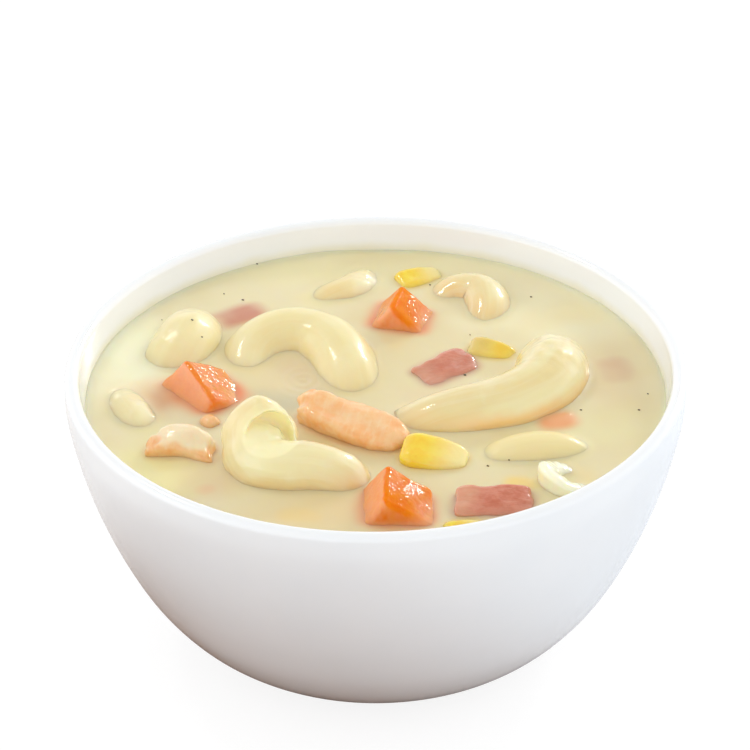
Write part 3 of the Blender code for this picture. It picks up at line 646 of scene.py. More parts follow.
def elbow_mesh(spec, seed):
    """A cooked elbow: bent tube, slightly uneven, with a rounded and hollow mouth where it shows."""
    radius, sides = spec["radius"], 64
    line = smooth_curve([(x, y, z + SOUP_LEVEL) for x, y, z in spec["line"]], 160)
    tangent, side, up = frames_along(line)
    run = np.concatenate([[0.0], np.cumsum(np.linalg.norm(np.diff(line, axis=0), axis=1))])
    length = run[-1]
    mouth, bore = spec.get("mouth", 0.0), spec.get("bore", BORE)
    soft = 1.1
    rows = []                                        # (place along the line, radius, 1 inside the hole)
    if mouth:
        for a in np.linspace(0.12, math.pi / 2.0, 9)[:-1]:
            rows.append((mouth - 1.6 * (1.0 - math.cos(a)), bore * 0.92 * math.sin(a), 1.0))
        for s in np.linspace(mouth - 1.6, 1.15, 14):
            rows.append((s, bore * (0.92 + 0.08 * step_up(mouth - s, 1.6, 3.0)), 1.0))
        mid = (bore + radius) / 2.0
        half = (radius - bore) / 2.0
        for a in np.linspace(math.pi, 0.0, 13):
            rows.append((soft * (1.0 - math.sin(a)) * 0.9, mid + half * math.cos(a), 0.5 + 0.5 * max(0.0, -math.cos(a))))
        start = soft * 0.9
    else:
        for a in np.linspace(0.0, math.pi / 2.0, 6)[1:]:
            rows.append((2.0 * (1.0 - math.sin(a)), radius - 2.0 * (1.0 - math.sin(a)) - 1.2 * math.cos(a), 0.0))
        rows = [(2.0 * (1.0 - math.sin(a)), radius - 2.2 * (1.0 - math.cos(math.pi / 2 - a)), 0.0)
                for a in np.linspace(0.15, math.pi / 2.0, 6)]
        start = 0.0
    count = int(np.clip(length / 0.36, 60, 150))
    outer = np.linspace(start, length - 2.0, count)
    if not mouth:
        outer = outer[outer > 0.4]
    for s in outer[1:]:
        rows.append((s, radius, 0.0))
    for a in np.linspace(0.0, math.pi / 2.0 - 0.15, 7)[1:]:
        rows.append((length - 2.0 + 2.0 * math.sin(a), radius - 2.2 * (1.0 - math.cos(a)), 0.0))
    s = np.array([q[0] for q in rows])
    r = np.array([q[1] for q in rows])
    inside = np.array([q[2] for q in rows])

    def at(values):
        out = np.stack([np.interp(s, run, values[:, k]) for k in range(3)], axis=1)
        return out

    centre, t, sd, u = at(line), at(tangent), at(side), at(up)
    for m in (t, sd, u):
        m /= np.linalg.norm(m, axis=1)[:, None]
    a = np.linspace(0.0, 2.0 * math.pi, sides, endpoint=False)
    flow = np.stack([np.tile(radius * np.cos(a), (len(s), 1)), np.tile(radius * np.sin(a), (len(s), 1)),
                     np.tile(s[:, None], (1, sides))], axis=-1)
    # soft dents, and fine lines left by the die along the piece
    dent = 0.030 * noise(flow * (1, 1, 0.55), 5.0, seed) + 0.012 * noise(flow * (1, 1, 0.8), 2.2, seed + 5)
    lines = 0.030 * noise(flow * (1.0, 1.0, 0.10), 0.8, seed + 9)
    if spec.get("swell"):                            # the fine lines fade where the end is swollen
        lines = lines * (1.0 - 0.9 * step_up(s / length, 0.50, 0.78))[:, None]
    rr = r[:, None] * (1.0 + dent) + lines
    if spec.get("swell"):
        rr = rr * (1.0 + spec["swell"] * step_up(s / length, 0.45, 0.85))[:, None]
    off = rr[..., None] * (np.cos(a)[None, :, None] * sd[:, None, :] + np.sin(a)[None, :, None] * u[:, None, :])
    if spec.get("shift"):                            # a hole that is off the middle, and longer one way
        way = np.array(spec["shift"])
        way = way - tangent[0] * way.dot(tangent[0])
        off = off + inside[:, None, None] * way
        longer, times = np.array(spec["long"][0]), spec["long"][1]
        longer = longer - tangent[0] * longer.dot(tangent[0])
        longer /= np.linalg.norm(longer)
        off = off + ((times - 1.0) * inside[:, None] * (off @ longer))[..., None] * longer
        off = off - (0.18 * inside[:, None] * (off @ np.cross(longer, tangent[0])))[..., None] * np.cross(longer, tangent[0])
    if spec.get("cut"):
        normal = np.array(spec["cut"]) / np.linalg.norm(spec["cut"])
        fade = np.clip(1.0 - np.linalg.norm(centre - line[0], axis=1) / 6.5, 0.0, 1.0)
        off = off - tangent[0] * (fade[:, None] * (off @ normal) / tangent[0].dot(normal))[..., None]
    if spec.get("drop"):                             # one side of the mouth is torn away
        way, much = np.array(spec["drop"][0]), spec["drop"][1]
        unit = off / np.maximum(np.linalg.norm(off, axis=2), 1e-9)[..., None]
        torn = np.clip(unit @ way, 0.0, 1.0) ** 1.6
        off = off + tangent[0] * (much * torn * np.exp(-s / 2.6)[:, None])[..., None]
    if spec.get("ragged"):
        near = np.exp(-np.maximum(s, 0.0) / 0.9) * step_up(s, -1.0, 0.0) * np.where(inside > 0.9, 0.6, 1.0)
        tear = spec["ragged"] * (noise(flow * (1, 1, 0.3), 1.0, seed + 21) + 0.6 * noise(flow, 0.5, seed + 22)
                                 + 0.8 * noise(flow * (1, 1, 0.0), 3.0, seed + 23))
        off = off - tangent[0] * (near[:, None] * tear)[..., None]
    rings = centre[:, None, :] + off
    verts, quads, caps = capped(rings, rings[0].mean(axis=0), rings[-1].mean(axis=0) + t[-1] * 0.2)
    flow = np.concatenate([flow.reshape(-1, 3), [flow[0].mean(axis=0), flow[-1].mean(axis=0)]]) * MM
    inn = np.concatenate([np.repeat(inside, sides), [inside[0], inside[-1]]])
    return verts, quads, caps, flow, inn


def skin(shapes, cell, soften, cutter=None):
    """One closed skin round shapes that overlap; cutter is taken out of the first one before."""
    def make(name, verts, faces):
        mesh = bpy.data.meshes.new(name)
        mesh.from_pydata(np.asarray(verts).tolist(), [], [tuple(int(i) for i in f) for f in faces])
        ob = bpy.data.objects.new(name, mesh)
        bpy.context.scene.collection.objects.link(ob)
        return ob

    def settle(ob):
        bpy.context.view_layer.update()
        got = ob.evaluated_get(bpy.context.evaluated_depsgraph_get()).to_mesh()
        v = np.array([p.co[:] for p in got.vertices])
        f = [tuple(q.vertices) for q in got.polygons]
        ob.evaluated_get(bpy.context.evaluated_depsgraph_get()).to_mesh_clear()
        return v, f

    made = []
    if cutter is not None:
        first, tool = make("skin_first", *shapes[0]), make("skin_tool", *cutter)
        cut = first.modifiers.new("cut", "BOOLEAN")
        cut.operation, cut.solver, cut.object = "DIFFERENCE", "EXACT", tool
        shapes = [settle(first)] + list(shapes[1:])
        made += [first, tool]
    verts, faces = [], []
    for v, f in shapes:
        faces += [tuple(int(i) + len(verts) for i in q) for q in f]
        verts += np.asarray(v).tolist()
    whole = make("skin_whole", verts, faces)
    made.append(whole)
    net = whole.modifiers.new("net", "REMESH")
    net.mode, net.voxel_size = "VOXEL", cell
    calm = whole.modifiers.new("calm", "SMOOTH")
    calm.factor, calm.iterations = 0.5, soften
    v, f = settle(whole)
    for ob in made:
        mesh = ob.data
        bpy.data.objects.remove(ob)
        bpy.data.meshes.remove(mesh)
    return v, f


def ball(centre, radii, power=2.0, rows=40, sides=72, rough=0.0, seed=0):
    """Closed lump with pointed (power under 2) or full ends."""
    verts, faces = [], []
    for i in range(1, rows):
        lat = math.pi * i / rows
        for j in range(sides):
            lon = 2.0 * math.pi * j / sides
            d = np.array([math.sin(lat) * math.cos(lon), math.sin(lat) * math.sin(lon), math.cos(lat)])
            verts.append(d / (np.abs(d) ** power).sum() ** (1.0 / power))
    verts += [np.array([0.0, 0.0, 1.0]), np.array([0.0, 0.0, -1.0])]
    verts = np.array(verts) * radii + centre
    if rough:
        out = (verts - centre) / np.linalg.norm(verts - centre, axis=1)[:, None]
        verts = verts + out * (rough * fbm(verts, 2.4, 2, seed))[:, None]
    n = (rows - 1) * sides
    for i in range(rows - 2):
        for j in range(sides):
            k = (j + 1) % sides
            faces.append((i * sides + j, (i + 1) * sides + j, (i + 1) * sides + k, i * sides + k))
    for j in range(sides):
        k = (j + 1) % sides
        faces.append((n, j, k))
        faces.append((n + 1, (rows - 2) * sides + k, (rows - 2) * sides + j))
    return verts, faces


def curled_mesh(spec, seed):
    """The elbow whose torn end stands up like a hood, open toward the viewer."""
    up = np.array((0.0, 0.0, SOUP_LEVEL))
    hood_at, hood = np.array((-19.6, -20.6, 4.3)) + up, np.array((6.7, 6.6, 7.9))
    hole_at, hole = np.array((-17.6, -24.2, 6.1)) + up, np.array((4.5, 4.5, 4.6))
    line = smooth_curve([(x, y, z + SOUP_LEVEL) for x, y, z in
                         ((-21.2, -22.0, 1.4), (-19.2, -25.2, 1.4), (-15.0, -26.4, 1.3), (-11.2, -26.3, 1.1),
                          (-6.4, -26.8, -0.6), (-3.8, -27.6, -4.4))], 60)
    tangent, side, lift = frames_along(line)
    a = np.linspace(0.0, 2.0 * math.pi, 48, endpoint=False)
    s = np.linspace(0.0, 1.0, 60)
    r = 5.0 * np.sqrt(np.clip(1.0 - (np.clip(0.10 - s, 0.0, 1.0) / 0.10) ** 2, 0.02, 1.0)) * (1.0 - 0.06 * s)
    rings = line[:, None, :] + r[:, None, None] * (np.cos(a)[None, :, None] * side[:, None, :]
                                                   + np.sin(a)[None, :, None] * lift[:, None, :])
    v, q, caps = capped(rings, rings[0].mean(axis=0), rings[-1].mean(axis=0))
    body = (v, [tuple(f) for f in q] + caps)
    neck = ball(np.array((-20.2, -22.4, 1.8)) + up, np.array((5.8, 5.8, 6.0)))
    v, f = skin([ball(hood_at, hood, 1.55), body, neck], 0.22, 42,
                cutter=ball(hole_at, hole, 2.0, rough=0.22, seed=seed))
    f = np.array([q if len(q) == 4 else q + (q[-1],) for q in f])
    # flow along the piece, from the mouth to the other end
    path = smooth_curve([(x, y, z + SOUP_LEVEL) for x, y, z in spec["line"]], 120)
    tangent, side, lift = frames_along(path)
    run = np.concatenate([[0.0], np.cumsum(np.linalg.norm(np.diff(path, axis=0), axis=1))])
    near = np.array([np.argmin(((path - p) ** 2).sum(axis=1)) for p in v])
    off = v - path[near]
    flow = np.stack([np.einsum("ij,ij->i", off, side[near]), np.einsum("ij,ij->i", off, lift[near]), run[near]], axis=1)
    normal = vertex_normals(v, f)
    if np.einsum("ij,ij->i", normal, v - v.mean(axis=0)).mean() < 0:
        normal = -normal
    v = v + normal * (0.10 * noise(v, 3.6, seed) + 0.04 * noise(v, 1.8, seed + 1)
                      + 0.05 * noise(flow * (1, 1, 0.12), 0.9, seed + 2))[:, None]
    depth = np.linalg.norm((v - hole_at) / hole, axis=1)
    inside = step_up(-depth, -1.14, -1.02) * step_up(v[:, 2] - SOUP_LEVEL, -3.0, -1.0)
    return v, f, flow * MM, inside


# ------------------------------------------------------------------ blocks
def carrot_shape(x, y, z):
    return x * (1.0 - 0.10 * z) + 0.10 * y, y * (1.0 + 0.08 * x), z * (1.0 + 0.07 * x - 0.06 * y)


def kernel_shape(x, y, z):
    width = 1.0 - 0.22 * np.maximum(x, 0.0) ** 1.5 - 0.10 * (x + 1.0) * 0.5
    dimple = np.where(z > 0, -0.10 * np.exp(-6.0 * ((x + 0.3) ** 2 + y * y)), 0.0)
    return x, y * width, z * (0.92 + 0.10 * (1.0 - x) * 0.5) + dimple


def ham_shape(x, y, z):
    a = np.arctan2(y, x)
    k = 1.0 + 0.05 * np.sin(2 * a + 0.6) + 0.025 * np.sin(5 * a + 2.0)
    return x * k, y * k, z * (1.0 + 0.12 * np.sin(2.6 * x + 1.0)) + 0.10 * x * x


def strip_shape(x, y, z):
    groove = 0.03 * np.sin(5.0 * y + 1.5 * x + 0.5)
    width = 1.0 + 0.10 * np.sin(3.0 * x + 0.8) - 0.16 * np.maximum(x, 0.0) ** 2
    return x * (1.0 + 0.05 * np.sin(4.0 * y + 1.0)), y * width, z * (1.0 - 0.12 * y) + groove


def lump_shape(x, y, z):
    k = 1.0 + 0.06 * np.sin(4.0 * x + 1.0) * np.cos(3.0 * y)
    thin = 1.0 - 0.34 * np.maximum(-x, 0.0) ** 2 - 0.12 * np.maximum(x, 0.0) ** 2
    return x * k, y * thin + 0.26 - 0.74 * x * x, z * thin * (1.0 + 0.08 * np.sin(3.5 * y + 0.4)) * k


def plain_shape(x, y, z):
    return x, y, z


BLOCKS = {
    "carrot_1": dict(kind="carrot", centre=(-29.6, 0.5, -1.7), size=(12.0, 10.0, 8.8), turn=(-57, 22, -27),
                     rounding=0.20, shape=carrot_shape,
                     broken=((196, 366, 3.4), (210, 376, 3.6), (222, 390, 3.4))),
    "carrot_2": dict(kind="carrot", centre=(4.8, 25.2, -1.1), size=(9.4, 8.8, 8.4), turn=(-104, 8, -38),
                     rounding=0.20, shape=carrot_shape,
                     broken=((424, 306, 2.4), (384, 318, 2.0), (430, 318, 2.4))),
    "carrot_3": dict(kind="carrot", centre=(3.3, -36.5, -0.5), size=(10.2, 9.8, 8.8), turn=(-92, 14, -31),
                     rounding=0.20, shape=carrot_shape,
                     broken=((394, 478, 1.6), (416, 490, 1.8), (424, 506, 1.6))),
    "corn_1": dict(kind="corn", centre=(9.8, -21.4, -0.2), size=(11.4, 7.6, 5.6), turn=(-12, 6, 16),
                   rounding=0.55, shape=kernel_shape),
    "corn_2": dict(kind="corn", centre=(20.8, 13.6, -1.2), size=(8.6, 6.0, 4.8), turn=(-20, 4, 14),
                   rounding=0.55, shape=kernel_shape, flip=True, warm=0.60),
    "corn_3": dict(kind="corn", centre=(8.2, 40.2, -1.2), size=(8.8, 6.0, 4.8), turn=(24, 0, 12),
                   rounding=0.55, shape=kernel_shape),
    "corn_4": dict(kind="corn", centre=(14.3, -42.3, -1.6), size=(7.0, 5.0, 4.4), turn=(14, 0, 6),
                   rounding=0.55, shape=kernel_shape),
    "ham_1": dict(kind="ham", centre=(19.2, -35.4, -0.8), size=(12.6, 7.2, 4.4), turn=(4, 4, 12),
                  rounding=0.30, shape=ham_shape),
    "ham_2": dict(kind="ham", centre=(12.4, 7.8, -1.4), size=(11.6, 7.2, 4.0), turn=(38, 0, 8),
                  rounding=0.30, shape=ham_shape),
    "chicken_1": dict(kind="chicken", centre=(-4.0, -12.2, 0.2), size=(20.6, 8.4, 7.0), turn=(-31, 6, 14),
                      rounding=0.40, shape=strip_shape),
    "chicken_2": dict(kind="chicken", centre=(-32.9, -17.8, -0.8), size=(11.8, 7.2, 8.0), turn=(-8, 6, 8),
                      rounding=0.50, shape=lump_shape),
}
# small and sunk pieces that the frame doesn't have as nodes
BITS = {
    "bit_orange": dict(kind="chicken", centre=(-28.6, -9.6, -0.4), size=(4.2, 3.4, 3.4), turn=(-52, 0, 0),
                       rounding=0.85, shape=plain_shape),
    "sunk_ham_1": dict(kind="ham", centre=(-25.6, 26.4, -2.2), size=(12.6, 6.4, 3.4), turn=(30, 0, 0),
                       rounding=0.5, shape=ham_shape),
    "sunk_corn_1": dict(kind="corn", centre=(24.4, -29.6, -2.4), size=(6.6, 4.6, 4.0), turn=(-10, 0, 0),
                        rounding=0.6, shape=kernel_shape),
    "sunk_carrot_1": dict(kind="carrot", centre=(31.2, -10.2, -1.6), size=(6.6, 4.6, 3.6), turn=(14, 0, 0),
                          rounding=0.6, shape=plain_shape),
    "sunk_ham_2": dict(kind="ham", centre=(42.4, 6.6, -3.0), size=(6.0, 9.0, 3.0), turn=(10, 0, 0),
                       rounding=0.6, shape=ham_shape),
    "sunk_carrot_2": dict(kind="carrot", centre=(-28.5, -30.4, -2.6), size=(3.6, 3.0, 2.4), turn=(20, 0, 0),
                       rounding=0.6, shape=plain_shape),
    "sunk_corn_2": dict(kind="corn", centre=(-12.6, -38.1, -3.0), size=(8.0, 4.6, 3.6), turn=(-8, 0, 0),
                        rounding=0.6, shape=kernel_shape),
}


def block_mesh(spec, seed):
    """A rounded block with the surface of its kind of food."""
    n = {"carrot": 44, "chicken": 44, "ham": 40, "corn": 32}[spec["kind"]]
    if min(spec["size"]) < 4.0:
        n = 22
    a, b = np.meshgrid(np.arange(n + 1), np.arange(n + 1), indexing="ij")
    keys, quads = [], []
    base = 0
    for axis in range(3):
        for at in (0, n):
            key = np.empty((n + 1, n + 1, 3), int)
            key[..., axis], key[..., (axis + 1) % 3], key[..., (axis + 2) % 3] = at, a, b
            idx = base + np.arange((n + 1) ** 2).reshape(n + 1, n + 1)
            q = np.stack([idx[:-1, :-1], idx[1:, :-1], idx[1:, 1:], idx[:-1, 1:]], axis=-1).reshape(-1, 4)
            quads.append(q if at else q[:, ::-1])
            keys.append(key.reshape(-1, 3))
            base += (n + 1) ** 2
    keys, inverse = np.unique(np.concatenate(keys), axis=0, return_inverse=True)
    quads = inverse.reshape(-1)[np.concatenate(quads)]
    rounding = spec["rounding"]
    # closer steps where the edges are rounded
    marks = np.linspace(-1.0, 1.0, n + 1)
    marks = np.sign(marks) * (1.0 - (1.0 - np.abs(marks)) ** 1.25)
    c = marks[keys]
    core = np.clip(c, rounding - 1.0, 1.0 - rounding)
    off = c - core
    length = np.linalg.norm(off, axis=1)[:, None]
    unit = core + off / np.maximum(length, 1e-9) * rounding
    p = np.stack(spec["shape"](*unit.T), axis=1)
    v = p * np.array(spec["size"]) / 2.0
    normal = vertex_normals(v, quads)
    kind = spec["kind"]
    if kind == "carrot":
        push = 0.16 * fbm(v, 3.4, 2, seed) + 0.035 * fbm(v, 0.9, 2, seed + 3)
        pits = np.clip(noise(v, 0.62, seed + 7) - 0.15, 0.0, 1.0) ** 1.2
        push -= 0.12 * pits * step_up(noise(v, 6.0, seed + 9), -0.5, 0.4) * step_up(unit[:, 2], 0.2, 0.8)
        push -= 0.12 * (1.0 - np.max(np.abs(unit), axis=1))
    elif kind == "corn":
        push = 0.05 * fbm(v, 2.6, 2, seed) + 0.016 * fbm(v, 0.7, 2, seed + 3)
        push -= 0.10 * np.exp(-((unit[:, 0] - 0.55) / 0.22) ** 2)
    elif kind == "ham":
        push = 0.26 * fbm(v, 3.4, 2, seed) + 0.04 * fbm(v * (0.5, 1.5, 1.0), 0.9, 2, seed + 3)
    else:
        along = v * (1.0, 0.28, 0.6) + v[:, 1:2] * (0.30, 0.0, 0.0)
        push = 0.26 * fbm(v, 4.2, 2, seed) + 0.075 * fbm(along, 0.9, 3, seed + 3)
        crack = np.exp(-(noise(along, 3.2, seed + 6) / 0.09) ** 2)
        push -= 0.10 * crack
        torn = step_up(-unit[:, 0], 0.55, 0.95)
        push += torn * (0.30 * fbm(v, 1.9, 2, seed + 12) - 0.10)
    v = v + normal * push[:, None]
    rot = turn(*spec["turn"])
    x, y, z = spec["centre"]
    world = v @ rot.T + np.array((x, y, z + SOUP_LEVEL))
    extra = {}
    if kind == "corn":
        extra["root"] = (1.0 + (-unit[:, 0] if spec.get("flip") else unit[:, 0])) / 2.0
    if kind == "ham":
        extra["pale"] = 0.65 * step_up(-unit[:, 0] + 0.3 * noise(world, 2.0, seed), 0.05, 0.95)
    if kind == "chicken":
        skew = v[:, [1, 0, 2]].copy()                  # the fibres run across the piece
        skew[:, 1] += 0.30 * v[:, 1]
        extra["flow"] = skew * MM
        if spec["shape"] is lump_shape:
            lie = world[:, 2] - SOUP_LEVEL + 0.7 * unit[:, 0] + 0.6 * unit[:, 1] + 0.5 * noise(world, 2.0, seed)
            extra["pale"] = step_up(lie, 1.4, 2.4) * 0.9
        else:
            extra["pale"] = (0.20 * np.exp(-((unit[:, 1] + 0.05) / 0.50) ** 2) * step_up(-np.abs(unit[:, 0]), -0.85, -0.45)
                             * step_up(unit[:, 2], 0.2, 0.8) * (0.7 + 0.4 * noise(world, 2.6, seed)))
    return world, quads, extra


# -------------------------------------------------------------------- soup
CELL = 0.3
HALF = 171                                          # cells from the middle to the edge
AXIS = np.arange(-HALF, HALF + 1) * CELL


def top_of(verts, faces):
    """Height of a piece seen from above, on the grid; -99 where it isn't."""
    tree = BVHTree.FromPolygons([tuple(p) for p in verts.tolist()], [tuple(int(i) for i in f) for f in faces])
    out = np.full((len(AXIS), len(AXIS)), -99.0)
    low, high = verts.min(axis=0), verts.max(axis=0)
    ii = np.nonzero((AXIS >= low[0] - CELL) & (AXIS <= high[0] + CELL))[0]
    jj = np.nonzero((AXIS >= low[1] - CELL) & (AXIS <= high[1] + CELL))[0]
    down = Vector((0.0, 0.0, -1.0))
    for i in ii:
        for j in jj:
            hit = tree.ray_cast(Vector((AXIS[i], AXIS[j], 90.0)), down)
            if hit[0] is not None:
                out[i, j] = hit[0].z - SOUP_LEVEL
    return out


def blur(field, sigma):
    """Gaussian blur of a grid field; sigma in millimetres."""
    n = field.shape[0]
    pad = 40
    f = np.pad(field, pad, mode="edge")
    k = np.fft.fftfreq(f.shape[0])[:, None] ** 2 + np.fft.rfftfreq(f.shape[1])[None, :] ** 2
    g = np.exp(-2.0 * (math.pi * sigma / CELL) ** 2 * k)
    out = np.fft.irfft2(np.fft.rfft2(f) * g, s=f.shape)
    return out[pad:pad + n, pad:pad + n]


def sample(field, x, y):
    """Bilinear value of a grid field at points in millimetres."""
    gx = np.clip(x / CELL + HALF, 0.0, 2 * HALF - 1e-6)
    gy = np.clip(y / CELL + HALF, 0.0, 2 * HALF - 1e-6)
    i, j = gx.astype(int), gy.astype(int)
    i, j = np.minimum(i, 2 * HALF - 1), np.minimum(j, 2 * HALF - 1)
    u, w = gx - i, gy - j
    return (field[i, j] * (1 - u) * (1 - w) + field[i + 1, j] * u * (1 - w)
            + field[i, j + 1] * (1 - u) * w + field[i + 1, j + 1] * u * w)


# kind: (colour that it gives the soup over and beside it, strength, depth at which it fades, near and far spread)
STAINS = {
    "carrot": (STAIN_COLOURS["carrot"], 0.95, 1.4, 0.80, 3.0),
    "ham": (STAIN_COLOURS["ham"], 0.90, 1.4, 0.80, 2.2),
    "corn": (STAIN_COLOURS["corn"], 0.80, 1.2, 0.60, 1.8),
    "chicken": (STAIN_COLOURS["chicken"], 0.85, 1.3, 0.60, 2.2),
    # the tan halo round macaroni is partly pasta seen under the soup and partly painted shade beside the pieces
    "macaroni": (srgb(233, 215, 160), 0.80, 1.4, 0.60, 2.2),
    "macaroni_pale": (STAIN_COLOURS["macaroni_pale"], 0.65, 1.2, 0.60, 2.0),
}
# broad changes of tint in the soup: middle, half widths, colour, strength
TINTS = (
    ((-12.5, 7.0), (6.5, 7.5), srgb(232, 208, 166), 0.75),       # inside the large elbow
    # painted shade: the soup darkened between the large elbow and the curled one, where they shade it
    ((-16.0, -4.0), (9.0, 5.0), srgb(198, 190, 158), 0.80),      # between it and the curled one
    ((-38.6, -1.6), (6.5, 5.5), srgb(214, 160, 112), 0.92),      # left of the first carrot
    ((30.0, 24.0), (14.0, 9.0), srgb(240, 234, 194), 0.60),
    ((10.0, -1.0), (6.0, 4.0), srgb(228, 206, 164), 0.45),
    # painted shade: the soup darkened and warmed under the lower edge of the chicken strip
    ((2.5, -18.5), (5.0, 3.5), srgb(224, 192, 142), 0.60),
    ((-10.0, -37.0), (15.0, 6.0), srgb(232, 208, 158), 0.60),
    ((-27.0, -27.0), (6.0, 7.0), srgb(228, 196, 150), 0.45),
    ((42.0, 4.0), (6.0, 14.0), srgb(220, 198, 150), 0.55),
    # painted light: the soup lightened beside the bright left wall
    ((-44.0, 12.0), (8.5, 16.0), srgb(255, 249, 211), 0.95),
    ((-10.0, 43.0), (34.0, 5.0), srgb(236, 226, 174), 0.60),
    ((38.0, -12.0), (12.0, 7.0), srgb(231, 224, 172), 0.50),
    ((-37.0, -25.0), (7.0, 12.0), srgb(241, 232, 166), 0.75),
)


SWIRL = on_level(303.0, 380.0)[:2]
HOLLOW = (-13.0, 9.4)


def make_soup(pieces):
    """pieces: list of (kind, top heights, (film, how far it may rise))."""
    gx, gy = np.meshgrid(AXIS, AXIS, indexing="ij")
    level = np.zeros_like(gx)
    dry = np.ones_like(gx)
    mask = np.zeros_like(gx)
    tint = np.zeros(gx.shape + (3,))
    weight = np.zeros_like(gx)
    flat = np.stack([gx, gy, np.zeros_like(gx)], axis=-1)
    for (mx, my), (wx, wy), colour, strength in TINTS:
        d = np.sqrt(((gx - mx) / wx) ** 2 + ((gy - my) / wy) ** 2) + 0.25 * noise(flat, 5.0, 41)
        w = strength * step_up(-d, -1.5, -0.2)
        tint += w[..., None] * np.array(colour)
        weight += w
        dry *= 1.0 - w
    for kind, top, clearance in pieces:
        film, limit = clearance
        soft = 0.25
        h = np.clip((top + film) / soft, -40.0, 40.0)
        lift = soft * np.log1p(np.exp(h))
        lift = limit * (1.0 - np.exp(-lift / limit))
        level = np.maximum(level, lift)
        mask = np.maximum(mask, (top > 0.5).astype(float))
        colour, strength, fade, near, far = STAINS[kind]
        w = np.where(top > -50.0, np.exp(-np.maximum(-top, 0.0) / fade), 0.0)
        w = np.clip(1.15 * blur(w, near) + 0.55 * blur(w, far) - 0.10, 0.0, 1.0)
        w = strength * w * (1.0 + 0.20 * noise(flat, 3.0, 43))
        w = np.clip(w, 0.0, 1.0)
        tint += w[..., None] * np.array(colour)
        weight += w
        dry *= 1.0 - w
    level = blur(level, 0.45)
    level += 0.20 * blur(mask, 0.6) + 0.20 * blur(mask, 1.4)
    # the skin of the soup is drawn into rings in the hollow of the large elbow
    ring = np.sqrt((gx - SWIRL[0]) ** 2 + ((gy - SWIRL[1]) * 0.85) ** 2)
    level += 0.09 * np.cos(2.0 * math.pi * ring / 1.7) * np.exp(-(ring / 3.6) ** 2)
    level += 0.12 * fbm(flat, 15.0, 2, 51) + 0.025 * fbm(flat, 4.0, 2, 52)
    tint = (tint + 1e-3 * np.array(srgb(240, 235, 206))) / (weight + 1e-3)[..., None]
    cover = 1.0 - dry
    # thinner and paler where it creeps up the wall, and at the wall itself a pale warm band that is painted light over
    # the shade in the corner
    wall = np.maximum(inner_radius(SOUP_LEVEL) + 0.2 - np.hypot(gx, gy), 0.0)
    shore = np.maximum(0.75 * np.exp(-wall / 0.9), 0.98 * np.exp(-(wall / 0.6) ** 2))
    pale = np.exp(-(wall / 0.6) ** 2)[..., None]
    pale = (1.0 - pale) * np.array(srgb(240, 235, 206)) + pale * np.array(srgb(255, 248, 196))
    tint = tint * (1.0 - shore)[..., None] + shore[..., None] * pale
    cover = 1.0 - (1.0 - cover) * (1.0 - shore)

    radius = inner_radius(SOUP_LEVEL) + 0.45
    n = 276
    a, b = np.meshgrid(np.linspace(-1, 1, n + 1), np.linspace(-1, 1, n + 1), indexing="ij")
    big = np.abs(a) >= np.abs(b)
    with np.errstate(divide="ignore", invalid="ignore"):
        r = np.where(big, a, b)
        phi = np.where(big, math.pi / 4 * np.where(a != 0, b / a, 0.0),
                       math.pi / 2 - math.pi / 4 * np.where(b != 0, a / b, 0.0))
    x, y = r * np.cos(phi) * radius, r * np.sin(phi) * radius
    edge = radius - np.sqrt(x * x + y * y)
    z = sample(level, x, y) + 0.45 * np.exp(-np.maximum(edge - 0.45, 0.0) / 1.3)
    top = np.stack([x, y, z + SOUP_LEVEL], axis=-1).reshape(-1, 3)
    idx = np.arange((n + 1) ** 2).reshape(n + 1, n + 1)
    quads = np.stack([idx[:-1, :-1], idx[1:, :-1], idx[1:, 1:], idx[:-1, 1:]], axis=-1).reshape(-1, 4)
    ring = np.concatenate([idx[:-1, 0], idx[-1, :-1], idx[:0:-1, -1], idx[0, :0:-1]])
    border = top[ring]
    angle = np.arctan2(border[:, 1], border[:, 0])
    rows = [(inner_radius(SOUP_LEVEL - d) + 0.45, SOUP_LEVEL - d) for d in (1.2, 4.0, 9.0, 15.0, 22.0, 29.0, 35.0, 39.0)]
    rows.append((24.0, INNER[-1, 1] - 0.2))
    body = np.concatenate([np.stack([rr * np.cos(angle), rr * np.sin(angle), np.full(len(angle), zz)], axis=1)
                           for rr, zz in rows] + [np.array([[0.0, 0.0, INNER[-1, 1] - 0.25]])])
    verts = np.concatenate([top, body])
    m = len(ring)
    first = len(top)
    loops = [ring] + [first + i * m + np.arange(m) for i in range(len(rows))]
    sides = []
    for p, q in zip(loops[:-1], loops[1:]):
        sides.append(np.stack([p, q, np.roll(q, -1), np.roll(p, -1)], axis=-1))
    tip = len(verts) - 1
    caps = [(int(loops[-1][k]), tip, int(loops[-1][(k + 1) % m])) for k in range(m)]
    faces = np.concatenate([quads] + sides)
    # soup colour and cover per corner: food stains, with the painted shade and painted light of some tints and of the
    # wall band
    colour = np.stack([sample(tint[..., k], verts[:, 0], verts[:, 1]) for k in range(3)]
                      + [sample(cover, verts[:, 0], verts[:, 1])], axis=1)
    colour[len(top):, 3] = 0.0
    ob = add_piece("soup_cream", verts, faces, "soup", node="soup", extra=caps,
                   attributes={"stain_and_painted_light": colour})
    return ob, verts, quads


# --------------------------------------------------------------- put it all
make_bowl()

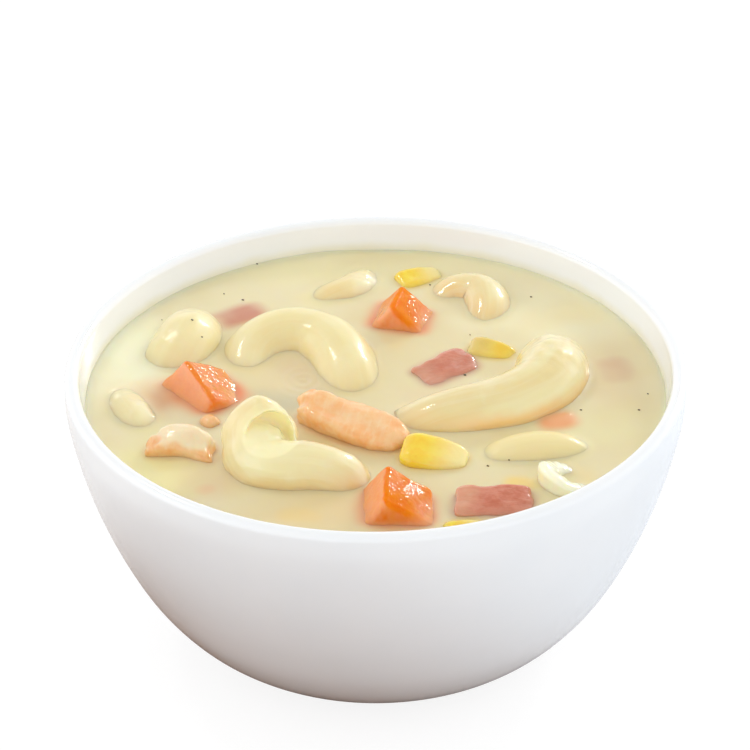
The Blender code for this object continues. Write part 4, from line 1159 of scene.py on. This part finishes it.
# film over what lies just under the surface, and how far it may rise (mm)
CLEARANCE = {"macaroni": (0.05, 0.2), "carrot": (0.0, 0.1), "corn": (0.0, 0.1), "ham": (0.0, 0.15), "chicken": (0.0, 0.1)}
tops, solid = [], []
for i, (name, spec) in enumerate(MACARONI.items()):
    if spec.get("curled"):
        v, q, flow, inside = curled_mesh(spec, 100 + 31 * i)
        caps = []
    else:
        v, q, caps, flow, inside = elbow_mesh(spec, 100 + 31 * i)
    sunk = name == "sunk_elbow"
    broken = np.zeros(len(v))
    for px, py in spec.get("broken", ()):
        d = through_pixel(px, py)
        away = np.linalg.norm(np.cross(v - CAM, d), axis=1)
        broken = np.maximum(broken, np.exp(-(away / 4.0) ** 2))
    if broken.any():
        n = vertex_normals(v, np.array(q))
        if np.einsum("ij,ij->i", n, v - v.mean(axis=0)).mean() < 0:
            n = -n
        broken *= step_up(n[:, 2], 0.20, 0.65)
        v = v + n * (broken * (0.19 * noise(v, 1.9, 300 + i) + 0.05 * noise(v, 0.9, 340 + i)))[:, None]
    pale = np.full(len(v), spec.get("pale", 0.0))
    # light patches: partly a whitish soup film, partly painted sheen and highlights
    for px, py, size, much in spec.get("light", ()):      # paler patches
        away = np.linalg.norm(np.cross(v - CAM, through_pixel(px, py)), axis=1)
        pale = np.maximum(pale, much * np.exp(-(away / size) ** 2 * (1.0 + 0.5 * noise(v, 1.6, 77 + i))))
    # warm sets how much painted shade each piece gets near the soup line; macaroni_4 gets less at its left end
    warm = np.full(len(v), spec.get("warm", 0.55))
    calm = np.zeros(len(v))
    if spec.get("swell"):
        calm = step_up(v[:, 1], -6.0, 0.0) * step_up(v[:, 0], 21.0, 26.0)
    if "warm_from" in spec:
        warm *= 0.35 + 0.65 * step_up(v[:, 0], *spec["warm_from"])
    add_piece("sunk_elbow" if sunk else "elbow_" + name[-1], v, q, "macaroni",
              node=None if sunk else name, extra=caps,
              attributes={"flow": flow, "inside": inside, "broken": broken,
                          "pale": pale, "warm": warm, "calm": calm, "sunk": np.full(len(v), spec.get("sunk", 0.0))})
    tops.append(("macaroni_pale" if name[-1] in "1578" else "macaroni", top_of(v, [tuple(f) for f in q] + caps), (0.25, 0.9) if sunk else CLEARANCE["macaroni"]))
    solid.append((v, [tuple(int(k) for k in f) for f in q]))
NAMES = {"carrot": "carrot_dice_", "corn": "kernel_", "ham": "ham_bit_", "chicken": "chicken_bit_"}
for i, (name, spec) in enumerate({**BLOCKS, **BITS}.items()):
    v, q, extra = block_mesh(spec, 700 + 37 * i)
    if spec["kind"] == "corn":
        extra["warm"] = spec.get("warm", 0.0) * (0.25 + 0.75 * step_up(extra["root"], 0.25, 0.75))
    if spec["kind"] == "carrot":
        wet = np.zeros(len(v))
        for px, py, size in spec.get("broken", ()):
            away = np.linalg.norm(np.cross(v - CAM, through_pixel(px, py)), axis=1)
            wet = np.maximum(wet, np.exp(-(away / size) ** 2))
        extra["broken"] = wet
    node = name if name in BLOCKS else None
    label = NAMES[spec["kind"]] + name[-1] if node else name
    add_piece(label, v, q, spec["kind"], node=node, attributes=extra)
    tops.append((spec["kind"], top_of(v, q), (0.2, 0.8) if name.startswith("sunk") else CLEARANCE[spec["kind"]]))
    solid.append((v, [tuple(int(k) for k in f) for f in q]))
soup, soup_verts, soup_quads = make_soup(tops)

# flecks of pepper lie where the camera's ray through a pixel meets the food
PEPPER = ((257, 264), (224, 294), (243, 300), (162, 320), (192, 320), (202, 337), (430, 285), (531, 297),
          (470, 335), (465, 375), (648, 394), (581, 410), (639, 410), (509, 460), (488, 466))


def fleck(centre, normal, size, seed):
    """A small broken flake, half sunk in what carries it."""
    rng = np.random.default_rng(seed)
    rings, sides = 5, 8
    helper = np.array([0.3, 0.5, 0.81])
    u = np.cross(normal, helper)
    u /= np.linalg.norm(u)
    w = np.cross(normal, u)
    verts = []
    for i in range(1, rings + 1):
        lat = math.pi * i / (rings + 1)
        for j in range(sides):
            lon = 2 * math.pi * j / sides
            d = np.array([math.sin(lat) * math.cos(lon), 0.7 * math.sin(lat) * math.sin(lon), 0.45 * math.cos(lat)])
            d = d * (1.0 + 0.28 * rng.uniform(-1, 1)) * size / 2.0
            verts.append(centre + u * d[0] + w * d[1] + normal * (d[2] + 0.04))
    verts.append(centre + normal * (0.20 * size))
    verts.append(centre - normal * (0.20 * size))
    faces = [(i * sides + j, i * sides + (j + 1) % sides, (i + 1) * sides + (j + 1) % sides, (i + 1) * sides + j)
             for i in range(rings - 1) for j in range(sides)]
    top, low = rings * sides, rings * sides + 1
    tri = [(j, top, (j + 1) % sides) for j in range(sides)]
    last = (rings - 1) * sides
    tri += [(last + (j + 1) % sides, low, last + j) for j in range(sides)]
    return verts, faces + tri


def make_pepper():
    verts, faces = [], []
    solid.append((soup_verts, [tuple(int(k) for k in f) for f in soup_quads]))
    trees = [BVHTree.FromPolygons([tuple(p) for p in v.tolist()], f) for v, f in solid]
    for k, (x, y) in enumerate(PEPPER):
        d = through_pixel(x, y)
        best = None
        for tree in trees:
            hit = tree.ray_cast(Vector(CAM), Vector(d))
            if hit[0] is not None and (best is None or hit[3] < best[3]):
                best = hit
        normal = np.array(best[1])
        if normal.dot(d) > 0:
            normal = -normal
        v, f = fleck(np.array(best[0]), normal, 0.42 + 0.12 * math.sin(3.7 * k), 900 + k)
        faces += [tuple(i + len(verts) for i in face) for face in f]
        verts += v
    add_piece("pepper_flecks", np.array(verts), [], "pepper", extra=faces)


make_pepper()


# -------------------------------------------------------------------- stage
def make_stage():
    mesh = bpy.data.meshes.new("studio_floor")
    s = 6.0
    mesh.from_pydata([(-s, -s, 0), (s, -s, 0), (s, s, 0), (-s, s, 0)], [], [(0, 1, 2, 3)])
    mesh.materials.append(LOOKS["floor"])
    floor = bpy.data.objects.new("studio_floor", mesh)
    bpy.context.scene.collection.objects.link(floor)


def area_light(name, toward, distance, size, power, colour, aim=(0.0, 0.0, 0.03)):
    d = Vector(toward).normalized()
    data = bpy.data.lights.new(name, "AREA")
    data.shape = "DISK"
    data.size = size
    data.energy = power
    data.color = colour
    ob = bpy.data.objects.new(name, data)
    ob.location = Vector(aim) + d * distance
    ob.rotation_mode = "QUATERNION"
    ob.rotation_quaternion = d.to_track_quat("Z", "Y")
    bpy.context.scene.collection.objects.link(ob)
    return ob


def make_light():
    world = bpy.data.worlds.new("soft_studio")
    bpy.context.scene.world = world
    world.use_nodes = True
    tree = world.node_tree
    tree.nodes.clear()
    out = tree.nodes.new("ShaderNodeOutputWorld")
    back = tree.nodes.new("ShaderNodeBackground")
    coord = tree.nodes.new("ShaderNodeTexCoord")
    split = tree.nodes.new("ShaderNodeSeparateXYZ")
    tree.links.new(coord.outputs["Generated"], split.inputs[0])

    def ramp(value, low, high, first, last):
        """Colour that goes from first to last while value goes from low to high."""
        span = tree.nodes.new("ShaderNodeMapRange")
        span.interpolation_type = "SMOOTHSTEP"
        span.inputs["From Min"].default_value, span.inputs["From Max"].default_value = low, high
        tree.links.new(value, span.inputs["Value"])
        mix = tree.nodes.new("ShaderNodeMix")
        mix.data_type = "RGBA"
        mix.inputs[6].default_value, mix.inputs[7].default_value = (*first, 1.0), (*last, 1.0)
        tree.links.new(span.outputs[0], mix.inputs[0])
        return mix.outputs[2]

    # lighter round the sides than overhead, and a little darker from the front
    rise = ramp(split.outputs["Z"], 0.20, 0.80, (1.72, 1.74, 1.78), (0.80, 0.80, 0.80))
    front = ramp(split.outputs["Y"], -0.2, -0.95, (1.0, 1.0, 1.0), (0.80, 0.80, 0.80))
    behind = ramp(split.outputs["Y"], 0.1, 0.9, (1.0, 1.0, 1.0), (0.72, 0.72, 0.72))
    left = ramp(split.outputs["X"], -0.2, -0.95, (1.0, 1.0, 1.0), (1.12, 1.12, 1.12))
    light = rise
    for factor in (front, behind, left):
        both = tree.nodes.new("ShaderNodeMix")
        both.data_type, both.blend_type = "RGBA", "MULTIPLY"
        both.inputs[0].default_value = 1.0
        tree.links.new(light, both.inputs[6])
        tree.links.new(factor, both.inputs[7])
        light = both.outputs[2]
    tree.links.new(light, back.inputs["Color"])
    back.inputs["Strength"].default_value = 1.0
    tree.links.new(back.outputs[0], out.inputs[0])
    area_light("key_back_right", (0.53, 0.75, 0.42), 0.9, 0.15, 1.8, (1.0, 0.985, 0.96))
    area_light("top_left", (-0.45, 0.35, 0.80), 0.9, 0.12, 0.7, (1.0, 0.99, 0.98))


make_stage()
make_light()
bpy.context.scene.view_settings.view_transform = "Standard"
bpy.context.scene.cycles.use_denoising = True
